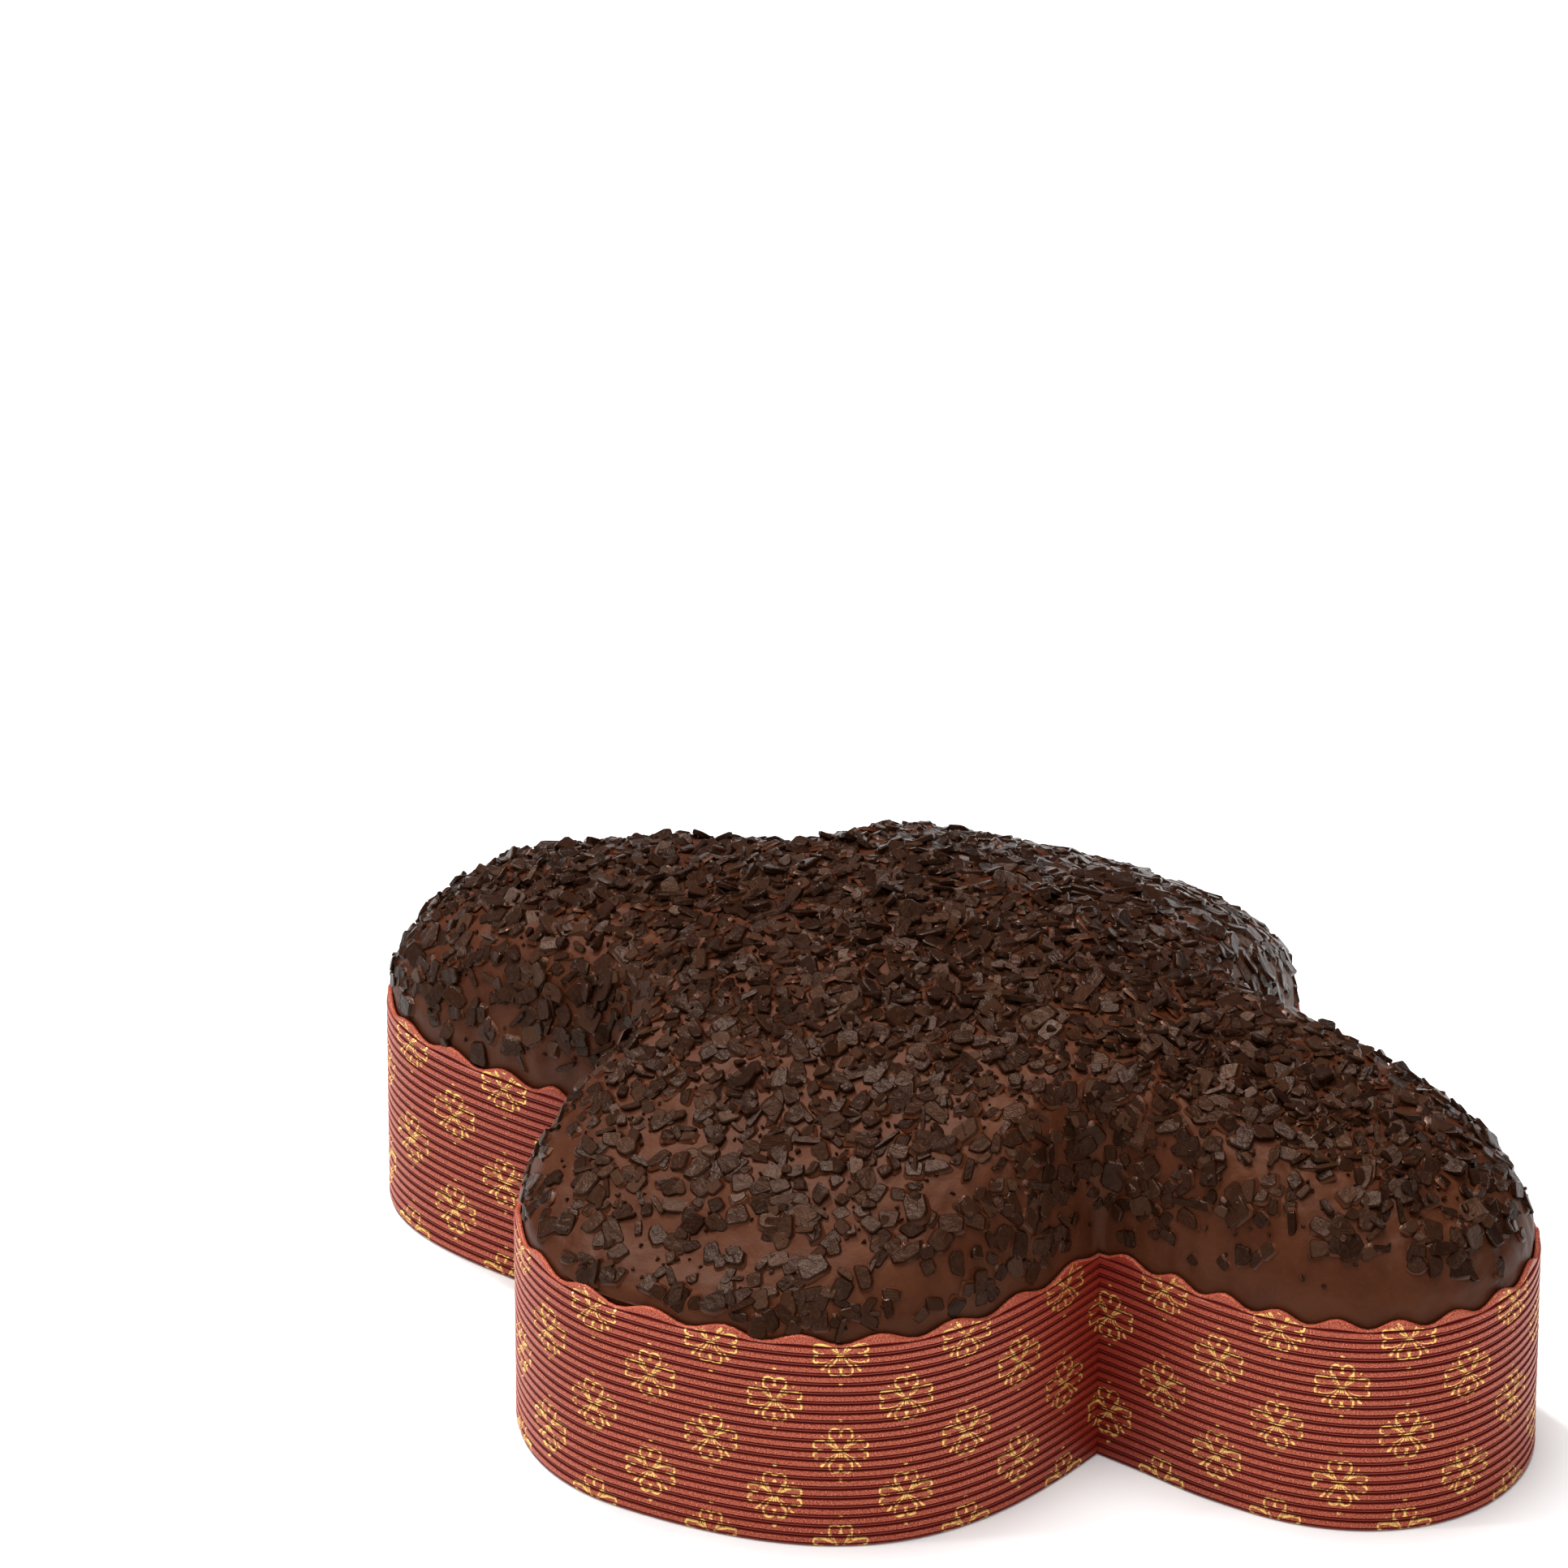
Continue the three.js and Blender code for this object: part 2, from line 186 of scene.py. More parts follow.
class GlazeSettings(bpy.types.PropertyGroup):
    """Chocolate glaze"""

    thickness: length("Thickness", "Thickness of the glaze", 0.0008)
    gap: length("Gap", "Gap between the glaze and the case", 0.0003)
    skirt_depth: length("Tucked Depth", "How deep the glaze reaches into the case", 0.0057)
    crown_inset: length("Crown Inset", "Where the rows begin to turn to the back", 0.009)
    side_rise: length("Side Rise", "Height of the steep side", 0.0068)
    side_width: length("Side Width", "Width over which the side turns in", 0.0075)
    crown_height: length("Crown Height", "Height of the crown over the side", 0.0382)
    crown_fall_length: share("Fall Lengthways", "How much the crown falls to the head and tail", 0.7, 3.0)
    crown_fall_width: share("Fall Sideways", "How much the crown falls to the wings", 1.15, 3.0)
    crown_reach: length("Crown Reach", "Depth in from the wall where the crown is full", 0.024)
    crown_roundness: share("Crown Roundness", "Steepness of the crown's edge", 2.5, 9.0)
    fold_fullness: share("Fold Fullness", "How much shorter that reach is at the folds of the case", 0.35)
    fold_width: length("Fold Width", "How far from a fold the glaze is so much fuller", 0.034)
    chip_bed: length("Chip Bed", "How far the glaze lies under the chips' tops on the crown", 0.0028)
    swell_height: length("Swell Height", "Height of the low swells on the crown", 0.0007)
    swell_length: length("Swell Length", "Length of the low swells on the crown", 0.026)
    lump_height: length("Lump Height", "Height of the uneven lumps", 0.0013)
    lump_size: length("Lump Size", "Width of the uneven lumps", 0.019)
    drip_height: length("Run Height", "Height of the runs down the side", 0.0007)
    drip_width: length("Run Width", "Width of the runs down the side", 0.006)
    ripple_height: length("Ripple Height", "Height of the fine ripples", 0.0005)
    ripple_size: length("Ripple Size", "Width of the fine ripples", 0.0035)
    glaze: colour("Glaze", "Colour of the glaze", (0.058, 0.0160, 0.0060))
    glaze_shade: colour("Glaze Shade", "Colour of the glaze in hollows", (0.042, 0.0106, 0.0040))
    sheen: colour("Sheen", "Tint of the light that the glaze throws back", (1.0, 0.62, 0.45))


class ChipSettings(bpy.types.PropertyGroup):
    """Chocolate chips and crumbs"""

    broad_spacing: length("Broad Chip Spacing", "Least distance between broad chips", 0.0040)
    small_spacing: length("Small Chip Spacing", "Least distance between small chips", 0.0029)
    upper_spacing: length("Upper Chip Spacing", "Least distance between broad chips lying on others", 0.0047)
    upper_small_spacing: length(
        "Upper Small Chip Spacing", "Least distance between small chips lying on others", 0.0036
    )
    cluster_size: length("Cluster Size", "Width of the crowded places", 0.016)
    sliver_spacing: length("Sliver Spacing", "Least distance between slivers", 0.0046)
    crumb_spacing: length("Crumb Spacing", "Least distance between crumbs", 0.0020)
    bare_band: length("Bare Rim", "Height of the band over the rim that stays bare", 0.0014)
    full_share: share("Full Cover", "Share of the way to the back where the chips are dense", 0.9)
    full_share_head: share("Full Cover of the Head", "The same share for the head", 0.95)
    side_cover: share("Side Cover", "Density of chips low on the sides", 0.85)
    side_cover_head: share("Side Cover of the Head", "Density of chips low on the head", 0.27)
    bare_band_head: length("Bare Rim of the Head", "Height of the bare band round the head", 0.0045)
    seed: count("Seed", "Seed of the chips' places", 11, 0)
    darkest: colour("Darkest Chip", "Colour of the darkest chips", (0.011, 0.0037, 0.0016))
    middle: colour("Middle Chip", "Colour of most chips", (0.023, 0.0076, 0.0034))
    palest: colour("Palest Chip", "Colour of the palest chips", (0.043, 0.0180, 0.0092))
    sheen: colour("Sheen", "Tint of the light that the chips throw back", (1.0, 0.68, 0.52))


class CrustSettings(bpy.types.PropertyGroup):
    """Baked crust under the glaze"""

    baked: colour("Baked", "Colour of the well baked crust", (0.33, 0.135, 0.038))
    pale: colour("Pale", "Colour of the pale crust", (0.62, 0.36, 0.12))


class StudioSettings(bpy.types.PropertyGroup):
    """Floor, lights and camera"""

    camera_azimuth: angle("Camera Azimuth", "Turn of the camera round the bread", 30.47)
    camera_elevation: angle("Camera Elevation", "Height of the camera over the horizon", 30.59)
    camera_distance: length("Camera Distance", "Distance from the camera to what it looks at", 3.1438)
    camera_lens: amount("Focal Length", "Focal length in millimetres", 322.2, 1.0)
    target_x: length("Target X", "What the camera looks at", -0.0642)
    target_y: length("Target Y", "What the camera looks at", 0.0322)
    target_z: length("Target Z", "What the camera looks at", 0.1011)
    floor_size: length("Floor Size", "Width of the floor", 9.0)
    floor: colour("Floor", "Colour of the floor", (0.93, 0.93, 0.93))
    top_strength: amount("Top Light", "Strength of the broad top light", 2.7)
    top_breadth: angle("Top Light Breadth", "How broad the top light is in the sky", 36)
    left_strength: amount("Left Light", "Strength of the broad left light", 0.4)
    right_strength: amount("Right Light", "Strength of the broad right light", 0.4)
    side_breadth: angle("Side Light Breadth", "How broad the left and right lights are", 50)
    spark_strength: amount("Spark Light", "Strength of the small glossy lights", 2.0)
    spark_breadth: angle("Spark Light Breadth", "How broad the small glossy lights are", 5)
    room: amount("Room", "Strength of the pale room", 0.18)


# The plan and the form of the crown


def half_arcs(plan):
    """The seven arcs of one half, from the tip of the head to the tip of the tail, by corner points"""
    tip, wide, half = plan.head_tip_x, plan.head_wide_x, plan.head_half_width
    lead = wide - plan.neck_x
    span = plan.wing_tip_y - plan.neck_y
    drop = plan.wing_rear_y - plan.tail_fold_y
    tail_lead = plan.tail_wide_x - plan.tail_fold_x
    tail_length = plan.tail_tip_x - plan.tail_wide_x
    neck = (plan.neck_x, plan.neck_y)
    wing = (plan.wing_tip_x, plan.wing_tip_y)
    rear = (plan.wing_rear_x, plan.wing_rear_y)
    fold = (plan.tail_fold_x, plan.tail_fold_y)
    tail = (plan.tail_wide_x, plan.tail_half_width)
    end = (plan.tail_tip_x, 0)
    front_x = wing[0] + plan.wing_front_roundness * (neck[0] - wing[0])
    back_x = wing[0] + plan.wing_rear_roundness * (rear[0] - wing[0])
    back_y = rear[1] + plan.wing_rear_roundness * (wing[1] - rear[1])
    neck_lead = (neck[0] + plan.neck_bulge * lead, neck[1] + plan.neck_bulge * (half - neck[1]))
    tail_lead_out = (tail[0] + plan.tail_roundness * tail_length, tail[1] - plan.tail_taper)
    head_lead_out = (wide + plan.head_roundness * (tip - wide), half)
    arcs = (
        ((tip, 0), (tip, plan.head_roundness * half), head_lead_out, (wide, half)),
        ((wide, half), (wide - lead / 2, half), neck_lead, neck),
        (neck, (neck[0] - plan.wing_front_lean, neck[1] + span / 2), (front_x, wing[1]), wing),
        (wing, (back_x, wing[1]), (rear[0], back_y), rear),
        (rear, (rear[0], rear[1] - drop / 2), (fold[0], fold[1] + drop / 3), fold),
        (fold, (fold[0] + tail_lead / 3, fold[1]), (tail[0] - tail_lead / 3, tail[1]), tail),
        (tail, tail_lead_out, (end[0], plan.tail_roundness * tail[1]), end),
    )
    return [np.array(arc, float) for arc in arcs]


# Fine steps for each step of an arc, points worked out at once, and the least square of a distance
FINE_STEPS = 60
BLOCK = 4000
LEAST_SQUARE = 1e-13


def even_points(arc, steps):
    """Points evenly spaced along a cubic arc, both ends included"""
    dense = np.linspace(0, 1, FINE_STEPS * steps + 1)[:, None]
    rest = 1 - dense
    line = rest**3 * arc[0] + 3 * rest**2 * dense * arc[1]
    line = line + 3 * rest * dense**2 * arc[2] + dense**3 * arc[3]
    run = np.concatenate([[0], np.cumsum(np.linalg.norm(np.diff(line, axis=0), axis=1))])
    wanted = np.linspace(0, run[-1], steps + 1)
    return np.stack([np.interp(wanted, run, line[:, axis]) for axis in (0, 1)], axis=1)


def fold_points(plan):
    """The four inward folds of the case, where one lobe meets the next"""
    corners = ((plan.neck_x, plan.neck_y), (plan.tail_fold_x, plan.tail_fold_y))
    return np.array([(x, side * y) for x, y in corners for side in (1, -1)])


def closeness_to_folds(points, plan, reach):
    """1 at a fold of the case, falling to 0 beside it"""
    away = np.linalg.norm(points[:, None, :] - fold_points(plan)[None, :, :], axis=2).min(axis=1)
    return np.exp(-((away / reach) ** 2))


def mirrored(half):
    """A half and its reflection in the X axis, without a second copy of the two ends"""
    return np.vstack([half, half[-2:0:-1] * (1, -1)])


class Plan:
    """Outline of the case, the way inwards at each of its points, and the line of the back"""

    def __init__(self, settings, columns_per_step):
        self.settings = settings
        steps = [number * columns_per_step for number in ARC_STEPS]
        arcs = half_arcs(settings)
        half = [even_points(arc, number)[:-1] for arc, number in zip(arcs, steps)]
        self.outline = mirrored(np.vstack([*half, arcs[-1][3:]]))
        self.columns = len(self.outline)
        ends = settings.head_tip_x * np.array(BACK_STATIONS)
        stations = [np.linspace(a, b, n, endpoint=False) for a, b, n in zip(ends, ends[1:], steps)]
        along = np.concatenate([*stations, ends[-1:]])
        self.back = mirrored(np.stack([along, np.zeros(len(along))], axis=1))
        side = np.roll(self.outline, -1, axis=0) - self.outline
        spans = np.linalg.norm(side, axis=1)
        normal = np.stack([-side[:, 1], side[:, 0]], axis=1) / spans[:, None]
        mitre = normal + np.roll(normal, 1, axis=0)
        self.across = mitre * (2 / (mitre**2).sum(axis=1))[:, None]
        self.run = np.concatenate([[0], np.cumsum(spans)])

    def inset(self, distance):
        return self.outline + self.across * distance


def depth_inside(points, outline):
    """A smooth distance to the wall, which grows from 0 at the wall and blends from lobe to lobe"""
    side = np.roll(outline, -1, axis=0) - outline
    span = np.linalg.norm(side, axis=1)
    along = side / span[:, None]
    depths = []
    for block in np.array_split(points, max(1, len(points) // BLOCK)):
        away = block[:, None, :] - outline[None, :, :]
        behind = -(away * along).sum(axis=2)
        ahead = behind + span
        aside = (away[..., 0] * along[:, 1] - away[..., 1] * along[:, 0]) ** 2
        aside = np.maximum(aside, LEAST_SQUARE)
        pull = (ahead / np.sqrt(aside + ahead**2) - behind / np.sqrt(aside + behind**2)) / aside
        depths.append(np.sqrt(2 / pull.sum(axis=1)))
    return np.concatenate(depths)


def dome_height(points, plan, glaze, case):
    """Height of the glaze over the table"""
    depth = depth_inside(points, plan.outline)
    x, y = points[:, 0], points[:, 1]
    lengthways = glaze.crown_fall_length * (x / plan.settings.head_tip_x) ** 2
    sideways = glaze.crown_fall_width * (y / plan.settings.wing_tip_y) ** 2
    fuller = glaze.fold_fullness * closeness_to_folds(points, plan.settings, glaze.fold_width)
    reach = glaze.crown_reach * (1 - fuller)
    edge = 1 - (1 - np.minimum(depth / reach, 1)) ** glaze.crown_roundness
    side_depth = (depth - case.wall - glaze.gap) / glaze.side_width
    side = glaze.side_rise * np.sqrt(1 - (1 - np.clip(side_depth, 0, 1)) ** 2)
    swell = glaze.swell_height * np.sin(x / glaze.swell_length) * np.cos(y / glaze.swell_length + 1)
    crown = glaze.crown_height * (1 - (lengthways + sideways)) + swell - glaze.chip_bed
    return case.height + side + crown * edge


# Meshes from rings of points


def with_height(points, height):
    return np.column_stack([points, np.broadcast_to(height, len(points))])


def numbered(rings):
    """The numbers of the vertices of rings that follow one another"""
    return np.arange(len(rings) * len(rings[0])).reshape(len(rings), -1)


def ring_faces(index):
    """Four-cornered faces between neighbouring rings"""
    lower, upper = index[:-1], index[1:]
    right_lower, right_upper = np.roll(lower, -1, axis=1), np.roll(upper, -1, axis=1)
    return np.stack([lower, right_lower, right_upper, upper], axis=2).reshape(-1, 4)


def drop_repeats(face):
    """A face without the corners that it has twice"""
    return [corner for i, corner in enumerate(face) if corner != face[i - 1]]


def mesh_from(name, vertices, faces):
    mesh = bpy.data.meshes.new(name)
    mesh.from_pydata(np.asarray(vertices).tolist(), [], [list(map(int, face)) for face in faces])
    mesh.validate()
    return mesh


def set_attribute(mesh, name, values, kind="FLOAT", domain="POINT"):
    attribute = mesh.attributes.new(name, kind, domain)
    key = "vector" if kind == "FLOAT_VECTOR" else "value"
    attribute.data.foreach_set(key, np.asarray(values, np.float32).ravel())


def set_place_map(mesh, name, across, up):
    """A UV map in metres, whose first number doesn't jump where the strip closes"""
    corners = np.zeros(len(mesh.loops), np.int32)
    mesh.loops.foreach_get("vertex_index", corners)
    starts, totals = np.zeros((2, len(mesh.polygons)), np.int32)
    mesh.polygons.foreach_get("loop_start", starts)
    mesh.polygons.foreach_get("loop_total", totals)
    before, last = np.unique(across)[-2:]
    run = last + (last - before)
    u = across[corners]
    furthest = np.repeat(np.maximum.reduceat(u, starts), totals)
    u = np.where(furthest - u > run / 2, u + run, u)
    places = np.stack([u, up[corners]], axis=1).astype(np.float32)
    mesh.uv_layers.new(name=name).data.foreach_set("uv", places.ravel())


def add_object(name, data):
    piece = bpy.data.objects.new(name, data)
    bpy.context.scene.collection.objects.link(piece)
    return piece


def settle(piece):
    """Keeps what the modifiers make of a piece as its plain mesh"""
    bpy.context.view_layer.update()
    depsgraph = bpy.context.evaluated_depsgraph_get()
    made = bpy.data.meshes.new_from_object(
        piece.evaluated_get(depsgraph), preserve_all_data_layers=True, depsgraph=depsgraph
    )
    piece.modifiers.clear()
    piece.data = made
    made.name = piece.name
    if not len(made.polygons):
        raise RuntimeError(f"{piece.name} has no faces")


# Nodes


# Parts the numbers that one seed draws for different uses
SALT = 13.0


class Builder:
    """Adds nodes to a tree and joins their sockets"""

    def __init__(self, tree):
        self.tree = tree

    def node(self, kind, inputs=None, **settings):
        node = self.tree.nodes.new(kind)
        for name, value in settings.items():
            setattr(node, name, value)
        for key, value in (inputs or {}).items():
            self.feed(node.inputs[key], value)
        return node

    def made(self, kind, inputs=None, output=0, **settings):
        """What a new node puts out"""
        return Value(self, self.node(kind, inputs, **settings).outputs[output])

    def feed(self, socket, value):
        if isinstance(value, Value):
            self.tree.links.new(value.socket, socket)
        else:
            socket.default_value = value

    def parts(self, vector):
        node = self.node("ShaderNodeSeparateXYZ", {0: vector})
        return [Value(self, output) for output in node.outputs]

    def vector(self, *values):
        return self.made("ShaderNodeCombineXYZ", dict(enumerate(values)))

    def scaled(self, vector, factor):
        return self.made("ShaderNodeVectorMath", {0: vector, "Scale": factor}, operation="SCALE")

    def vector_sum(self, first, second):
        return self.made("ShaderNodeVectorMath", {0: first, 1: second}, operation="ADD")

    def noise(self, place, size, detail=2.0, roughness=0.5):
        inputs = {"Vector": place, "Scale": 1 / size, "Detail": detail, "Roughness": roughness}
        return self.made("ShaderNodeTexNoise", inputs)

    def swell(self, place, size, detail):
        """Noise whose size is one of the tree's inputs"""
        shrunk = self.made("ShaderNodeVectorMath", {0: place, 1: size}, operation="DIVIDE")
        return self.made("ShaderNodeTexNoise", {"Vector": shrunk, "Scale": 1.0, "Detail": detail})

    def mix(self, factor, first, second):
        inputs = {0: factor, 6: first, 7: second}
        return self.made("ShaderNodeMix", inputs, output=2, data_type="RGBA", clamp_factor=True)


class Value:
    """A value that nodes work out, so that a rule reads as plain arithmetic"""

    def __init__(self, builder, socket):
        self.builder = builder
        self.socket = socket

    def work(self, operation, *others):
        inputs = dict(enumerate((self, *others)))
        return self.builder.made("ShaderNodeMath", inputs, operation=operation)

    __add__ = partialmethod(work, "ADD")
    __sub__ = partialmethod(work, "SUBTRACT")
    __mul__ = partialmethod(work, "MULTIPLY")
    __truediv__ = partialmethod(work, "DIVIDE")
    __pow__ = partialmethod(work, "POWER")
    __abs__ = partialmethod(work, "ABSOLUTE")
    least = partialmethod(work, "MINIMUM")
    most = partialmethod(work, "MAXIMUM")
    floor = partialmethod(work, "FLOOR")
    fraction = partialmethod(work, "FRACT")
    over = partialmethod(work, "GREATER_THAN")

    def short_of(self, limit):
        """How far the value lies under a limit"""
        return self * -1.0 + limit

    def ramp(self, low, high, out_low=0.0, out_high=1.0):
        """Goes evenly from out_low at low to out_high at high, and no further"""
        inputs = {0: self, 1: low, 2: high, 3: out_low, 4: out_high}
        return self.builder.made("ShaderNodeMapRange", inputs, clamp=True)


def hypotenuse(first, second):
    return (first * first + second * second) ** 0.5


class NodeRule(Builder):
    """A Geometry Nodes tree with named inputs, put on a piece as a modifier"""

    def __init__(self, name, sizes):
        super().__init__(bpy.data.node_groups.new(name, "GeometryNodeTree"))
        self.sizes = sizes
        self.new_socket("Geometry", "INPUT", "Geometry")
        self.identifiers = {
            label: self.new_socket(label, "INPUT", self.socket_kind(value)).identifier
            for label, value in sizes.items()
        }
        self.new_socket("Geometry", "OUTPUT", "Geometry")
        self.start = self.node("NodeGroupInput")

    def new_socket(self, label, in_out, kind):
        return self.tree.interface.new_socket(label, in_out=in_out, socket_type="NodeSocket" + kind)

    @staticmethod
    def socket_kind(value):
        for kind in ("Collection", "Material"):
            if isinstance(value, getattr(bpy.types, kind)):
                return kind
        return "Int" if isinstance(value, int) else "Float"

    def given(self, label):
        """One of the tree's named inputs"""
        return Value(self, self.start.outputs[label])

    def attribute(self, name, kind="FLOAT"):
        node = "GeometryNodeInputNamedAttribute"
        return self.made(node, {"Name": name}, output="Attribute", data_type=kind)

    def stored(self, geometry, name, value, domain):
        inputs = {"Geometry": geometry, "Name": name, "Value": value}
        return self.made("GeometryNodeStoreNamedAttribute", inputs, data_type="FLOAT", domain=domain)

    def moved(self, geometry, offset):
        return self.made("GeometryNodeSetPosition", {"Geometry": geometry, "Offset": offset})

    def chance(self, salt):
        """A number from 0 to 1 for each point, by the tree's seed"""
        salted = self.given("Seed") * SALT + float(salt)
        return self.made("FunctionNodeRandomValue", {"Seed": salted}, output=1, data_type="FLOAT")

    def finish(self, geometry):
        """Makes the instances real and sets the material, as every tree ends"""
        real = self.made("GeometryNodeRealizeInstances", {0: geometry})
        return self.made("GeometryNodeSetMaterial", {"Geometry": real, "Material": self.given("Material")})

    def put_on(self, piece, geometry):
        """Ends the tree with this geometry and keeps what it makes of a piece"""
        self.node("NodeGroupOutput", {0: geometry})
        modifier = piece.modifiers.new(self.tree.name, "NODES")
        modifier.node_group = self.tree
        for label, value in self.sizes.items():
            modifier[self.identifiers[label]] = value
        settle(piece)
        bpy.data.node_groups.remove(self.tree)


# Finishes


def rgba(colour, strength=1.0):
    return (*[value * strength for value in colour], 1.0)


class Finish(Builder):
    """A material whose shader is fed by nodes"""

    def __init__(self, name):
        self.material = bpy.data.materials.new(name)
        self.material.use_nodes = True
        super().__init__(self.material.node_tree)
        self.tree.nodes.clear()
        shader = self.node("ShaderNodeBsdfPrincipled")
        self.sockets = shader.inputs
        self.node("ShaderNodeOutputMaterial", {"Surface": Value(self, shader.outputs[0])})

    def attribute(self, name, output="Fac"):
        return self.made("ShaderNodeAttribute", output=output, attribute_name=name)

    def spot(self):
        """Where a point lies on its piece, in metres"""
        return self.made("ShaderNodeTexCoord", output="Object")

    def coat(self, colour, roughness):
        self.feed(self.sockets["Base Color"], colour)
        self.feed(self.sockets["Roughness"], roughness)

    def gloss(self, level, tint):
        self.sockets["Specular IOR Level"].default_value = level
        self.sockets["Specular Tint"].default_value = rgba(tint)

    def emboss(self, relief, strength, distance):
        inputs = {"Height": relief, "Strength": strength, "Distance": distance}
        self.feed(self.sockets["Normal"], self.made("ShaderNodeBump", inputs))


# Pen strokes of half an ornament, in millimetres from its middle: both ends and the half width at each.
# The upright ones are repeated upside down; the others lie over or under the middle.
UPRIGHT_STROKES = (
    ((0.65, 0.55), (2.2, 2.85), 0.12, 0.22),
    ((0.0, 3.45), (0.0, 4.7), 0.34, 0.12),
    ((0.0, 3.3), (0.4, 3.3), 0.2, 0.14),
    ((0.0, 6.95), (0.2, 6.95), 0.38, 0.3),
)
UPPER_STROKES = (
    ((0.9, 0.45), (2.6, 1.5), 0.10, 0.24),
    ((2.6, 1.5), (4.1, 2.0), 0.24, 0.30),
    ((4.1, 2.0), (5.4, 2.0), 0.30, 0.28),
    ((4.1, 0.25), (5.2, 0.15), 0.12, 0.20),
    ((1.3, 1.1), (2.8, 2.75), 0.06, 0.10),
    ((1.7, 1.15), (3.3, 2.45), 0.06, 0.10),
    ((4.3, 3.2), (4.5, 3.35), 0.16, 0.16),
    ((0.0, 0.0), (2.0, 0.05), 0.22, 0.08),
)
LOWER_STROKES = (
    ((0.5, 0.35), (2.6, 1.5), 0.10, 0.08),
    ((2.6, 1.5), (4.4, 1.85), 0.07, 0.10),
    ((4.4, 1.85), (5.5, 1.7), 0.10, 0.16),
    ((2.8, 1.95), (4.45, 3.6), 0.08, 0.34),
    ((0.12, 0.3), (0.3, 1.3), 0.10, 0.18),
    ((0.35, 0.3), (1.0, 1.25), 0.08, 0.18),
)
# Rings of half an ornament, and how near the middle they stay open
HEART_RING = {"middle": (1.38, 3.7), "radius": 1.35, "half_width": 0.24}
HEART_OPENING = (1.5, 3.1)
PETAL_RING = {"middle": (5.65, 1.22), "radius": 0.74, "half_width": 0.24}
PETAL_OPENING = 5.4
SQUARENESS = 2.3
PEN_SOFTNESS = 0.05
# Height under which the paper lies on the table, stretch of its fibres, and steps of the knife's marks
UNDERSIDE_TOP = 0.0002
FIBRE_STRETCH = 0.4
KNIFE_MARK_PITCH = 0.00055


def pen_stroke(across, along, start, end, begin_width, end_width):
    """How far a place lies outside a straight stroke, whose half width goes from one end to the other"""
    way = (end[0] - start[0], end[1] - start[1])
    square = way[0] ** 2 + way[1] ** 2
    from_start = (across - start[0], along - start[1])
    reach = ((from_start[0] * way[0] + from_start[1] * way[1]) / square).most(0.0).least(1.0)
    away = hypotenuse(from_start[0] - reach * way[0], from_start[1] - reach * way[1])
    return away - reach * (end_width - begin_width) - begin_width


def square_ring(across, along, middle, radius, half_width):
    """How far a place lies outside a ring with soft corners"""
    x, y = abs(across - middle[0]), abs(along - middle[1])
    return abs((x**SQUARENESS + y**SQUARENESS) ** (1 / SQUARENESS) - radius) - half_width


def ornament_mask(across, up, case, run):
    """Gold print: two hearts, two forked side petals, rays and a dot above and below, in columns"""
    pitch = run / case.ornament_columns
    column = across / pitch + case.ornament_shift
    odd = (column.floor() * 0.5).fraction() * 2
    x = (column.fraction() - 0.5) * (pitch / MM / case.ornament_width)
    row = up / case.ornament_rise + odd * 0.5
    y = (row.fraction() - 0.5) * (case.ornament_rise / MM / case.ornament_height)
    wide, high = abs(x), abs(y)
    opening = high.short_of(HEART_OPENING[1]).least(wide.short_of(HEART_OPENING[0]) * 1.2)
    heart = square_ring(wide, high, **HEART_RING).most(opening)
    petal = square_ring(wide, high, **PETAL_RING).most(wide.short_of(PETAL_OPENING))
    away = heart.least(petal)
    for height, strokes in ((high, UPRIGHT_STROKES), (y, UPPER_STROKES), (y * -1.0, LOWER_STROKES)):
        for ends_and_widths in strokes:
            away = away.least(pen_stroke(wide, height, *ends_and_widths))
    return away.ramp(-PEN_SOFTNESS, PEN_SOFTNESS, 1.0, 0.0)


